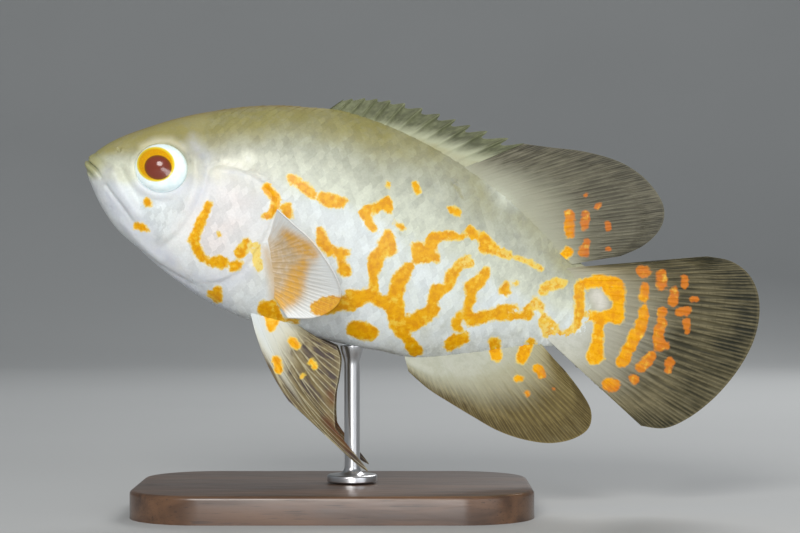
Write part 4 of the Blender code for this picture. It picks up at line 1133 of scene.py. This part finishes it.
def makeScales(name, side, keep, sort):
    pitch, rowStep, proud = sort["pitch"], sort["rowStep"], sort["proud"]
    rng = np.random.default_rng(scales["seed"] + (3 if side > 0 else 0) + len(name))
    columns = [sort["reach"][0]]
    while columns[-1] < sort["reach"][1]:
        columns.append(columns[-1] + float(readTable(pitch, columns[-1])))
    columns = np.array(columns)
    roots = []
    for row in range(-34, 35):
        shift = 0.5 if row % 2 else 0.0
        centres = np.interp(np.arange(len(columns) - 1) + shift, np.arange(len(columns)), columns)
        roots += [(u, row * rowStep) for u in centres]
    roots = np.array(roots)
    roots += rng.normal(0, 0.05, roots.shape)
    place, rootUv, arc = onSkin(roots[:, 0], roots[:, 1], side)
    inside = (roots[:, 1] < arc * 0.49 + 0.3) & (roots[:, 1] > -arc * 0.51 - 0.3)
    pick = inside & keep(place[:, 0], place[:, 2])
    roots, rootUv = roots[pick], rootUv[pick]
    size = readTable(pitch, roots[:, 0]) * rng.normal(1, 0.03, len(roots))
    count = len(roots)
    template = scaleTemplate(proud)
    u = roots[:, 0, None] + template["along"] * size[:, None]
    girth = roots[:, 1, None] + template["across"] * rowStep * scales["overlap"]
    girth = girth + rng.normal(0, 0.03, (count, 1)) * template["along"]
    lift = template["height"][None, :] * proud * rng.normal(1, 0.12, (count, 1))
    places, _, _ = onSkin(u, girth, side, lift)
    patch = np.stack((template["across"] * 0.5, template["rim"] - 0.5), -1) * scales["patch"]
    made = platesObject(name, places, template, side < 0, rootUv[:, None, :] + patch[None], rng.random(count))
    flat = places.reshape(-1, 3)
    centre = places[:, template["centre"]]
    whole = np.repeat(marksAt(centre), places.shape[1])
    addValues(made.data, "mark", mix(marksAt(flat), whole, scales["wholeMark"]))
    paintSkin(made.data, flat)
    addValues(made.data, "lips", np.zeros(len(flat)))
    addValues(made.data, "rim", rimAt(flat))
    return finishPiece(made, scaleMaterial, "skin", angle=50)


gillLine = smoothLine(head["gillCover"] + head["gillCover"][:1], 90)
cheekPatch = ((14.0, -3.6), (19.0, -3.4), (23.6, -2.0), (23.4, -5.5), (21.4, -9.6), (19.0, -11.6),
              (16.6, -8.8), (13.0, -5.8), (14.0, -3.6))


def onTrunk(u, v):
    flat = np.stack((u, v), 1)
    d, _ = nearOutline(flat, gillLine)
    eyeward = np.hypot((u - 16.8) / 9.5, (v - 3.3) / 9.0)
    behind = (u > 38) | ((u > 27) & (v < -10)) | ((u > 22.5) & (v > 7.5) & (eyeward > 1))
    return behind & (d > 0.55) & (u < 115)


def onGillCover(u, v):
    d, _ = nearOutline(np.stack((u, v), 1), gillLine)
    return d < -1.5


def onCheek(u, v):
    d, _ = nearOutline(np.stack((u, v), 1), cheekPatch)
    return d < -0.1


for sideName, side in (("left", -1), ("right", 1)):
    makeScales(f"scales_{sideName}", side, onTrunk, scales)
    makeScales(f"gill_scales_{sideName}", side, onGillCover, scales["gill"])
    makeScales(f"cheek_scales_{sideName}", side, onCheek, scales["cheek"])
print("scales laid")


fins = {
    "web": 0.36, "edge": 0.26, "sunk": 1.4,
    "spineCount": 13, "spineRoot": (46.0, 78.0),
    "spineTips": ((50.5, 28.4), (56.0, 30.1), (63.0, 31.0), (72.5, 30.7), (81.0, 29.9), (91.1, 29.3)),
    "softDorsalRays": 20, "softDorsalRoot": (77.8, 107.4),
    "softDorsalEdge": ((90.8, 29.2), (97.0, 30.0), (104.0, 31.0), (111.2, 31.0), (116.5, 29.7),
                       (120.6, 27.4), (123.7, 24.4), (124.8, 21.2), (124.2, 17.8), (121.8, 14.2),
                       (117.8, 11.0)),
    "softDorsalWave": (0.9, 1.1, 0.0),
    "analRays": 19, "analRoot": (76.8, 104.6),
    "analEdge": ((79.6, -25.4), (84.7, -27.9), (90.0, -29.6), (95.5, -31.2), (101.5, -32.8), (107.5, -33.3),
                 (113.5, -32.6), (118.2, -30.4), (120.9, -27.2), (120.4, -23.4), (117.2, -20.0),
                 (112.8, -16.7)),
    "analWave": (-0.8, 1.0, 0.1),
    "tailRays": 16, "tailRoot": ((108.5, 5.4), (108.5, -10.8)),
    "tailEdge": ((136.0, 15.7), (141.0, 16.1), (145.3, 14.6), (148.4, 11.4), (150.2, 6.9), (150.7, 1.8),
                 (150.0, -3.4), (148.2, -8.9), (145.4, -14.4), (141.6, -19.4), (137.2, -22.9),
                 (132.0, -23.8)),
    "tailWave": (1.6, 0.8, 0.55),
    "pectoralRays": 14, "pectoralRoot": ((43.3, -6.2), (46.6, -16.4)),
    "pectoralEdge": ((43.8, 7.5, 1.2), (48.0, 9.6, -0.9), (52.2, 11.0, -3.0), (56.2, 11.6, -6.0),
                     (59.8, 11.4, -9.6), (61.6, 10.4, -13.0), (60.4, 8.8, -16.2), (57.0, 6.8, -19.0),
                     (51.6, 4.2, -20.6)),
    "pelvicRays": 5, "pelvicRoot": ((42.3, -21.6), (50.6, -22.0)), "pelvicRootY": 3.4,
    "pelvicEdge": ((56.2, -38.0), (76.2, -48.0), (68.6, -42.0), (66.9, -39.5), (65.6, -34.4), (65.3, -30.8),
                   (64.6, -26.5), (63.0, -24.0)),
    "pelvicSplay": (6.6, 8.4, 8.1, 7.8, 7.4, 6.8, 6.0, 5.2),
    "pelvicBows": (1.3, 3.3, 2.2, 1.4, 1.0, 0.7, 0.5, 0.4),
}


# Rays split in two, and again in two, on their way to the edge
def branchedRidge(share, out, rays, forks=((0.34, 0.62), (0.64, 0.88)), width=0.15):
    phase = (share * rays) % 1.0 - 0.5
    first = 0.23 * smooth(*forks[0], out)
    second = 0.115 * smooth(*forks[1], out)
    best = np.zeros_like(share)
    wide = mix(width, width * 0.42, smooth(0.3, 0.95, out))
    for a in (-1, 1):
        for b in (-1, 1):
            best = np.maximum(best, hump(phase - a * first - b * second, wide))
    return best


finSurfaces = {}


# A fin is a sheet from its root to its edge, with the rays standing on both faces.
# flesh gives how far out the scaled flesh of the body reaches at shares along the fin.
def makeFin(name, root, edge, columns, rows, ridgeAt, ridgeHeight, baseThick, material, flesh, marks=None,
            warmth=None, bows=(0.0, 0.0), wave=(0.0, 0.0, 0.0), dusk=None, darkAt=None, glowAt=None,
            rootWarmth=0.0, nodes=()):
    def fleshAt(share, out):
        reach = along([(f,) for f in flesh], share)[..., 0]
        soft = np.minimum(0.34, reach + 0.1)
        return 1 - smooth(reach - soft, reach + soft, out)

    def placeAt(share, out):
        begin, end = root(share), edge(share)
        ray = end - begin
        bow = along([(b,) for b in bows], share)[..., 0]
        forward = np.stack((ray[..., 2], 0 * bow, -ray[..., 0]), -1)
        forward /= np.linalg.norm(forward, axis=-1, keepdims=True)
        forward *= (4 * bow * out * (1 - out))[..., None]
        reach, turns, startTurn = wave
        forward[..., 1] = reach * out**2 * np.sin(math.tau * (turns * share + startTurn))
        return mix(begin, end, out[..., None]) + forward

    def thickAt(share, out):
        base = np.maximum(0, 1 - out / 0.45) ** 1.5 * (baseThick - fins["web"])
        return mix(fins["web"], fins["edge"], out**2) + base

    def paint(mesh, share, out, ridge, places):
        flat = places[:, [0, 2]]
        plain = np.zeros(len(flat))
        addValues(mesh, "share", share)
        addValues(mesh, "out", out)
        addValues(mesh, "ridge", ridge)
        addValues(mesh, "flesh", fleshAt(share, out))
        addValues(mesh, "mark", nearBlots(flat, marks) if marks else plain + 9)
        warm = smooth(1.8, -1.4, nearBlots(flat, warmth)) if warmth else plain
        rootWarm = rootWarmth * smooth(0.6, 0.3, out) * smooth(0.02, 0.1, share)
        addValues(mesh, "warm", np.maximum(warm, rootWarm))
        addValues(mesh, "glow", smooth(1.2, -1.3, nearBlots(flat, glowAt)) if glowAt else plain)
        foremost = smooth(0.2, 0.02, share) * smooth(0.05, 0.4, out)
        addValues(mesh, "thin", np.maximum(smooth(0.45, 0.95, out), foremost))
        dark = dusk(share, out) if dusk else smooth(0.2, 0.6, out)
        if darkAt:
            dark = np.maximum(dark, 1.9 * smooth(0.9, -0.7, nearBlots(flat, darkAt)))
        addValues(mesh, "dusk", dark)
        addColours(mesh, "zones", zonesAt(places))

    finSurfaces[name] = {
        "place": placeAt, "thick": thickAt, "flesh": fleshAt, "paint": paint, "material": material}
    bpy.ops.mesh.primitive_grid_add(x_subdivisions=columns, y_subdivisions=rows, size=1)
    made = takeActive(name)
    start = readPoints(made.data)
    share, out = start[:, 0] + 0.5, start[:, 1] + 0.5
    ridge = ridgeAt(share, out)
    fleshy = fleshAt(share, out)
    proud = ridgeHeight * ridge * np.minimum(1, (1 - out) * 4 + 0.35) * (1 - 0.9 * fleshy)
    thick = thickAt(share, out) + proud
    places = placeAt(share, out)
    writePoints(made.data, toModel(places))
    paint(made.data, share, out, ridge, places)
    most = float(thick.max())
    group = made.vertex_groups.new(name="thickness")
    for index, value in enumerate(thick / most):
        group.add([index], float(value), "REPLACE")
    solid = made.modifiers.new("thickness", "SOLIDIFY")
    solid.thickness = most * mm
    solid.offset = 0
    solid.vertex_group = "thickness"
    applyAll(made)
    return finishPiece(made, material, "fin", *nodes, angle=60)


def backPoint(u):
    top = along(body["stations"], shareAt(u))[..., 1]
    return np.stack((u + fins["sunk"] * 0.4, 0 * u, top - fins["sunk"]), -1)


def bellyPoint(u):
    bottom = along(body["stations"], shareAt(u))[..., 2]
    return np.stack((u, 0 * u, bottom + fins["sunk"]), -1)


def sideEdge(points):
    def edge(share):
        line = along(points, share)
        return np.stack((line[..., 0], 0 * share, line[..., 1]), -1)
    return edge


finMaterials = {name: makeFinMaterial(name) for name in finFinishes}


def makeSpinyDorsal():
    gaps = fins["spineCount"] - 1

    def root(share):
        return backPoint(mix(*fins["spineRoot"], share))

    def edge(share):
        line = along(fins["spineTips"], share)
        start = root(share)
        phase = share * gaps % 1.0
        cutBack = mix(0.1, 0.19, smooth(0.2, 0.8, share))
        cutBack = cutBack * smooth(0.0, 0.2, phase) * (1 - smooth(0.3, 1.0, phase))
        u, v = mix(line[..., 0], start[..., 0], cutBack), mix(line[..., 1], start[..., 2], cutBack)
        return np.stack((u, 0 * share, v), -1)

    def ridgeAt(share, out):
        phase = np.abs((share * gaps + 0.5) % 1.0 - 0.5)
        return hump(phase, 0.12 * (1 - 0.45 * out))

    def dusk(share, out):
        return smooth(mix(-0.2, 0.25, share), mix(0.5, 0.8, share), out) * mix(0.75, 1.5, share)
    makeFin("dorsal_spines", root, edge, gaps * 12, 40, ridgeAt, 0.6, 1.7, finMaterials["spiny"],
            (0.0, 0.05, 0.2, 0.38, 0.48, 0.5), dusk=dusk, nodes=("dorsal_fin_spiny",))


def makeSoftDorsal():
    rays = fins["softDorsalRays"]

    def root(share):
        return backPoint(mix(*fins["softDorsalRoot"], share))
    makeFin("soft_dorsal", root, sideEdge(fins["softDorsalEdge"]), rays * 12, 70,
            lambda share, out: branchedRidge(share, out, rays), 0.26, 2.4, finMaterials["softDorsal"],
            (0.24, 0.24, 0.24, 0.22, 0.18, 0.15, 0.12), softDorsalMarks, wave=fins["softDorsalWave"],
            dusk=lambda share, out: 0.8 * smooth(0.15, 0.6, out) + 0.8 * smooth(0.7, 1.0, out),
            nodes=("dorsal_fin_soft",))


def makeAnal():
    rays = fins["analRays"]

    def root(share):
        return bellyPoint(mix(*fins["analRoot"], share))
    makeFin("anal", root, sideEdge(fins["analEdge"]), rays * 12, 60,
            lambda share, out: branchedRidge(share, out, rays), 0.22, 2.4, finMaterials["anal"],
            (0.8, 0.72, 0.6, 0.5, 0.42, 0.36, 0.3, 0.24), analMarks, wave=fins["analWave"],
            dusk=lambda share, out: 0.8 * smooth(0.2, 0.6, out) + 0.9 * smooth(0.75, 1.0, out),
            nodes=("anal_fin",))


def makeTail():
    rays = fins["tailRays"]

    def root(share):
        line = along(fins["tailRoot"], share)
        return np.stack((line[..., 0] - fins["sunk"], 0 * share, line[..., 1]), -1)

    def dusk(share, out):
        outward = 0.85 * smooth(0.15, 0.65, out) + 0.9 * smooth(0.72, 1.0, out)
        topRim = 0.8 * smooth(0.12, 0.0, share) * smooth(0.0, 0.3, out)
        return outward * mix(1.0, 0.6, smooth(0.5, 0.95, share)) + topRim
    makeFin("tail", root, sideEdge(fins["tailEdge"]), rays * 15, 90,
            lambda share, out: branchedRidge(share, out, rays), 0.3, 2.6, finMaterials["tail"],
            (0.04, 0.2, 0.33, 0.37, 0.4, 0.42, 0.44), tailMarks, wave=fins["tailWave"], dusk=dusk,
            glowAt=ringGlow, nodes=("tail_fin",))


# The flank's half width at the pectoral fin's root, and at its edge's height, read at a share along the fin
pectoralShares = np.linspace(0, 1, 31)
pectoralRootY = np.array([flankY(u, v) for u, v in along(fins["pectoralRoot"], pectoralShares)])
pectoralEdgeY = np.array([flankY(r[0], e[2]) for r, e in zip(along(fins["pectoralRoot"], pectoralShares),
                                                            along(fins["pectoralEdge"], pectoralShares))])


def makePectoral(sideName, side):
    rays = fins["pectoralRays"]

    def root(share):
        line = along(fins["pectoralRoot"], share)
        y = np.interp(share, pectoralShares, pectoralRootY) - fins["sunk"]
        return np.stack((line[..., 0], side * y, line[..., 1]), -1)

    def edge(share):
        line = along(fins["pectoralEdge"], share)
        y = np.interp(share, pectoralShares, pectoralEdgeY) + line[..., 1]
        return np.stack((line[..., 0], side * y, line[..., 2]), -1)

    def ridgeAt(share, out):
        return np.maximum(branchedRidge(share, out, rays), 0.6 * hump(share, 0.014))
    makeFin(f"pectoral_{sideName}", root, edge, rays * 12, 50, ridgeAt, 0.1, 1.3, finMaterials["pectoral"],
            (0.02, 0.04, 0.04, 0.05), pectoralMarks, pectoralWarmth, glowAt=pectoralGlow, rootWarmth=0.85,
            nodes=(f"pectoral_fin_{sideName}",))


def makePelvic(sideName, side):
    rays = fins["pelvicRays"]

    def root(share):
        line = along(fins["pelvicRoot"], share)
        y = side * fins["pelvicRootY"] + 0 * share
        return np.stack((line[..., 0], y, line[..., 1] + fins["sunk"]), -1)

    def edge(share):
        line = along(fins["pelvicEdge"], share)
        splay = along([(y,) for y in fins["pelvicSplay"]], share)[..., 0]
        return np.stack((line[..., 0], side * splay, line[..., 1]), -1)

    def ridgeAt(share, out):
        return branchedRidge(share + 0.5 / rays, out, rays, forks=((0.2, 0.5), (0.5, 0.8)), width=0.08)

    def dusk(share, out):
        return smooth(0.2, 0.6, out) + 0.9 * smooth(0.78, 1.0, out) * hump(share - 0.14, 0.14)
    makeFin(f"pelvic_{sideName}", root, edge, rays * 26, 80, ridgeAt, 0.26, 1.7, finMaterials["pelvic"],
            (0.34, 0.3, 0.24, 0.2, 0.16, 0.14), pelvicMarks, pelvicWarmth, bows=fins["pelvicBows"],
            dusk=dusk, darkAt=pelvicShades, nodes=(f"pelvic_fin_{sideName}",))


makeSpinyDorsal()
makeSoftDorsal()
makeAnal()
makeTail()
for sideName, side in (("left", -1), ("right", 1)):
    makePectoral(sideName, side)
    makePelvic(sideName, side)
print("fins done")

# Small scales on the fleshy roots of the upright fins: steps along the root and outwards in mm
finScales = {"steps": {"soft_dorsal": (0.95, 1.15), "anal": (0.95, 1.15), "tail": (0.95, 1.25)},
             "proud": 0.07, "until": 0.12, "seed": 11}


def makeFinScales(name):
    rng = np.random.default_rng(finScales["seed"])
    template = scaleTemplate(finScales["proud"])
    surface = finSurfaces[name]
    stepAlong, stepOut = finScales["steps"][name]
    line = surface["place"](np.linspace(0, 1, 60), np.full(60, 0.1))
    count = int(np.linalg.norm(np.diff(line, axis=0), axis=1).sum() / stepAlong)
    ray = surface["place"](np.array([0.5, 0.5]), np.array([0.0, 1.0]))
    outStep = stepOut / np.linalg.norm(ray[1] - ray[0])
    places, values, uv = [], [], []
    for side in (-1, 1):
        roots = np.array([((k + 0.5) / count, 0.02 + outStep * (row + (0.5 if k % 2 else 0.0)))
                          for k in range(count) for row in range(int(0.8 / outStep))])
        roots += rng.normal(0, 0.004, roots.shape)
        fleshy = surface["flesh"](roots[:, 0], roots[:, 1] + outStep)
        pick = (fleshy > finScales["until"]) & (roots[:, 0] > 0.005) & (roots[:, 0] < 0.995)
        roots, fleshy = roots[pick], fleshy[pick]
        share = np.clip(roots[:, 0, None] + template["across"] * scales["overlap"] / count, 0.0, 1.0)
        out = np.clip(roots[:, 1, None] + template["along"] * outStep, 0.0, 1.0)
        place = surface["place"](share, out)
        further = surface["place"](share, out + 0.01)
        beside = surface["place"](np.clip(share + 0.01, 0, 1.02), out)
        normal = np.cross(further - place, beside - place)
        normal /= np.linalg.norm(normal, axis=-1, keepdims=True) + 1e-12
        normal *= np.sign(normal[..., 1:2]) * side
        lift = (template["height"] + 0.4) * finScales["proud"] * fleshy[:, None] - 0.4 * finScales["proud"]
        place = place + normal * (surface["thick"](share, out) / 2 + lift)[..., None]
        order = np.arange(place.shape[1]).reshape(-1, scales["across"])
        if side > 0:  # mirrored plates, so that all their faces point out
            place, share, out = (part[:, order[:, ::-1].ravel()] for part in (place, share, out))
        places.append(place)
        values.append(np.stack((share, out), -1))
        patch = np.stack((template["across"] * 0.5, template["rim"] - 0.5), -1) * scales["patch"]
        corner = np.stack((0.03 + roots[:, 0] * 0.94, (0.27 + side * 0.23) + roots[:, 1] * 0.45), -1)
        uv.append(corner[:, None, :] + patch[None])
    places, values, uv = np.concatenate(places), np.concatenate(values).reshape(-1, 2), np.concatenate(uv)
    made = platesObject(f"{name}_scales", places, template, True, uv, rng.random(len(places)))
    surface["paint"](made.data, values[:, 0], values[:, 1], np.zeros(len(values)), places.reshape(-1, 3))
    return finishPiece(made, surface["material"], "fin", angle=50)


for name in finScales["steps"]:
    makeFinScales(name)


def makeEyeMaterial():
    made, tree, shader = newMaterial("eyeball")
    place = addNode(tree, "ShaderNodeTexCoord").outputs["Object"]
    iris = readAttribute(tree, "iris")
    pupil = readAttribute(tree, "pupil")
    angle = readAttribute(tree, "around")
    cloud = addNoise(tree, place, 700.0, 3.0)
    fibreMap = {"X": addTimes(tree, angle, 9.0), "Y": addTimes(tree, iris, 2.0)}
    fibres = addNoise(tree, addNode(tree, "ShaderNodeCombineXYZ", fibreMap).outputs[0], 3.0, 3.0)
    white = addMix(tree, addRange(tree, cloud, 0.3, 0.7), *map(rgba, eye["white"]))
    shown = addMix(tree, addRange(tree, iris, 1.07, 0.97), white, rgba(eye["irisRim"]))
    gold = addMix(tree, addRange(tree, fibres, 0.3, 0.7), *map(rgba, eye["gold"]))
    shown = addMix(tree, addRange(tree, iris, 0.99, 0.84), shown, gold)
    shown = addMix(tree, addRange(tree, pupil, 1.12, 1.02), shown, rgba(eye["pupilRim"]))
    shown = addMix(tree, addRange(tree, pupil, 0.96, 0.85), shown, rgba(eye["pupilRed"]))
    tree.links.new(shown, shader["Base Color"])
    tree.links.new(addRange(tree, cloud, 0.3, 0.7, 0.12, 0.2), shader["Roughness"])
    shader["Specular IOR Level"].default_value = 0.2
    shader["Coat Weight"].default_value = eye["coat"]
    shader["Coat Roughness"].default_value = eye["coatRough"]
    return made


eyeMaterial = makeEyeMaterial()


def makeEye(sideName, side):
    bpy.ops.mesh.primitive_uv_sphere_add(segments=96, ring_count=64, radius=1)
    made = takeActive(f"eyeball_{sideName}")
    start = readPoints(made.data)
    x, z, out = start[:, 0], start[:, 1], start[:, 2]  # the sphere's pole faces out
    turn = np.array(Matrix.Rotation(eye["turn"], 3, "Z") @ Matrix.Rotation(eye["lift"], 3, "X"))
    a, b, c = eye["radii"]
    fromPupil = np.hypot(x + 0.12, z - 0.03)
    lens = eye["lens"] * np.maximum(0, 1 - (fromPupil / 0.55) ** 2) ** 1.5 * (out > 0)
    local = np.stack((x * a, out * c + lens, z * b), 1) @ turn.T
    centre = eye["centre"]
    places = np.stack((centre[0] + local[:, 0], side * (centre[1] + local[:, 1]), centre[2] + local[:, 2]), 1)
    writePoints(made.data, toModel(places))
    back = np.where(out > -0.1, 0.0, 5.0)
    for name in ("iris", "pupil"):
        u, v, long, high = eye[name]
        addValues(made.data, name, np.hypot((places[:, 0] - u) / long, (places[:, 2] - v) / high) + back)
    u, v, _, _ = eye["iris"]
    addValues(made.data, "around", np.arctan2(places[:, 2] - v, places[:, 0] - u))
    turnOutwards(made)
    finishPiece(made, eyeMaterial, "eye", f"eye_{sideName}", angle=180)


for sideName, side in (("left", -1), ("right", 1)):
    makeEye(sideName, side)
print("eyes done")


wood = {"dark": (0.045, 0.022, 0.012), "light": (0.13, 0.065, 0.032), "pore": (0.02, 0.01, 0.006),
        "rings": (12.0, 160.0, 160.0), "pores": (120.0, 2600.0, 2600.0), "coat": 0.3, "coatRough": 0.2}
steel = {
    "dark": (0.57, 0.57, 0.58), "light": (0.61, 0.61, 0.62), "brush": (60.0, 60.0, 1500.0), "rough": 0.28,
}


def makeWoodMaterial():
    made, tree, shader = newMaterial("darkWood")
    place = addNode(tree, "ShaderNodeTexCoord").outputs["Object"]
    rings = addStretchedNoise(tree, place, wood["rings"], 4.0, 0.6, 0.6)
    pores = addStretchedNoise(tree, place, wood["pores"])
    shown = addMix(tree, addRange(tree, rings, 0.3, 0.7), rgba(wood["dark"]), rgba(wood["light"]))
    shown = addMix(tree, addTimes(tree, addRange(tree, pores, 0.6, 0.72), 0.6), shown, rgba(wood["pore"]))
    tree.links.new(shown, shader["Base Color"])
    tree.links.new(addRange(tree, pores, 0.3, 0.7, 0.3, 0.42), shader["Roughness"])
    height = addMath(tree, "SUBTRACT", rings, addTimes(tree, pores, 0.5))
    bump = addNode(tree, "ShaderNodeBump", {"Strength": 0.25, "Distance": 0.0001, "Height": height})
    tree.links.new(bump.outputs["Normal"], shader["Normal"])
    shader["Coat Weight"].default_value = wood["coat"]
    shader["Coat Roughness"].default_value = wood["coatRough"]
    return made


def makeSteelMaterial():
    made, tree, shader = newMaterial("brushedSteel")
    place = addNode(tree, "ShaderNodeTexCoord").outputs["Object"]
    brushed = addStretchedNoise(tree, place, steel["brush"])
    tree.links.new(addMix(tree, brushed, rgba(steel["dark"]), rgba(steel["light"])), shader["Base Color"])
    shader["Roughness"].default_value = steel["rough"]
    shader["Metallic"].default_value = 1.0
    return made


woodMaterial, steelMaterial = makeWoodMaterial(), makeSteelMaterial()

# In metres. The rod's foot lies on the board and its wider head ends inside the belly.
stand = {
    "corner": 0.016, "edge": 0.0009, "rodX": 0.004, "rodRadius": 0.0017, "footRadius": 0.0055,
    "footHeight": 0.0016, "headRadius": 0.0026, "headTop": 0.044, "headLength": 0.008, "neckLength": 0.004,
    "sunk": 0.0006,
}


def makeBase():
    low, high = (Vector(corner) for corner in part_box("stand_base"))
    bpy.ops.mesh.primitive_cube_add(size=1, location=(low + high) / 2)
    base = takeActive("base_board")
    base.dimensions = high - low
    base.select_set(True)
    bpy.ops.object.transform_apply(location=True, rotation=False, scale=True)
    bpy.ops.object.mode_set(mode="EDIT")
    bpy.ops.mesh.select_mode(type="EDGE")
    bpy.ops.mesh.select_all(action="DESELECT")
    bpy.ops.object.mode_set(mode="OBJECT")
    for line in base.data.edges:
        a, b = (base.data.vertices[k].co for k in line.vertices)
        line.select = abs(a.z - b.z) > 0.001
    bpy.ops.object.mode_set(mode="EDIT")
    bpy.ops.mesh.bevel(offset=stand["corner"], segments=28, affect="EDGES")
    bpy.ops.mesh.select_all(action="DESELECT")
    bpy.ops.object.mode_set(mode="OBJECT")
    for line in base.data.edges:
        a, b = (base.data.vertices[k].co for k in line.vertices)
        line.select = min(a.z, b.z) > high.z - 1e-5
    bpy.ops.object.mode_set(mode="EDIT")
    bpy.ops.mesh.bevel(offset=stand["edge"], segments=5, affect="EDGES")
    bpy.ops.object.mode_set(mode="OBJECT")
    finishPiece(base, woodMaterial, "wood", "stand_base", angle=35)


def makeRod():
    low, high = (Vector(corner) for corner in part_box("stand_rod"))
    foot, top = low.z, high.z
    footTop = foot + stand["footHeight"]
    radius, neck = stand["rodRadius"], stand["headTop"] - stand["headLength"]
    profile = [(0.0, foot), (stand["footRadius"] - 0.0002, foot), (stand["footRadius"], foot + 0.0002)]
    profile += [(stand["footRadius"] - 0.0005 * (1 - math.cos(t)), footTop - 0.0005 * (1 - math.sin(t)))
                for t in np.linspace(0, math.pi / 2, 7)]
    profile += [(radius + radius * (1 - math.sin(t)), footTop + radius * (1 - math.cos(t)))
                for t in np.linspace(0, math.pi / 2, 10)]
    profile += [(mix(radius, stand["headRadius"], smooth(0, 1, t)), neck - stand["neckLength"] * (1 - t))
                for t in np.linspace(0, 1, 10)]
    profile += [(stand["headRadius"], top - stand["sunk"]), (0.0, top - stand["sunk"])]
    bpy.ops.mesh.primitive_plane_add(size=0.001, location=(0, 0, 0))
    rod = takeActive("steel_rod")
    rod.data.clear_geometry()
    rod.data.from_pydata([(r, 0, z) for r, z in profile], [(k, k + 1) for k in range(len(profile) - 1)], [])
    rod.select_set(True)
    bpy.context.view_layer.objects.active = rod
    bpy.ops.object.mode_set(mode="EDIT")
    bpy.ops.mesh.select_all(action="SELECT")
    bpy.ops.mesh.spin(steps=64, angle=math.tau, center=(0, 0, 0), axis=(0, 0, 1))
    bpy.ops.mesh.select_all(action="SELECT")
    bpy.ops.mesh.remove_doubles(threshold=1e-6)
    bpy.ops.mesh.normals_make_consistent(inside=False)
    bpy.ops.object.mode_set(mode="OBJECT")
    rod.data.transform(Matrix.Translation((stand["rodX"], 0, 0)))
    finishPiece(rod, steelMaterial, "steel", "stand_rod", angle=35)


makeBase()
makeRod()
print("stand done")


# A sheet that runs level and then bends upwards behind the stand
backdrop = {"length": 4.4, "level": 2.2, "bend": 0.5, "nearest": -1.5, "width": 5, "cloud": 6.0,
            "dark": (0.42, 0.43, 0.43), "light": (0.46, 0.47, 0.47), "rough": 0.75}


def makeFloor():
    bpy.ops.mesh.primitive_grid_add(x_subdivisions=8, y_subdivisions=120, size=1)
    floor = takeActive("studioFloor")
    start = readPoints(floor.data)
    t = (start[:, 1] + 0.5) * backdrop["length"]
    flat, bend = backdrop["level"], backdrop["bend"]
    turn = np.clip((t - flat) / bend, 0, math.pi / 2)
    y = np.minimum(t, flat) + bend * np.sin(turn) + backdrop["nearest"]
    z = bend * (1 - np.cos(turn)) + np.maximum(0, t - flat - bend * math.pi / 2)
    writePoints(floor.data, np.stack((start[:, 0] * backdrop["width"], y, z), 1))
    made, tree, shader = newMaterial("paleFloor")
    place = addNode(tree, "ShaderNodeTexCoord").outputs["Object"]
    cloud = addNoise(tree, place, backdrop["cloud"], 2.0)
    tree.links.new(addMix(tree, cloud, rgba(backdrop["dark"]), rgba(backdrop["light"])), shader["Base Color"])
    shader["Roughness"].default_value = backdrop["rough"]
    floor.data.materials.append(made)
    bpy.context.view_layer.objects.active = floor
    floor.select_set(True)
    bpy.ops.object.shade_smooth()
    floor.select_set(False)


makeFloor()
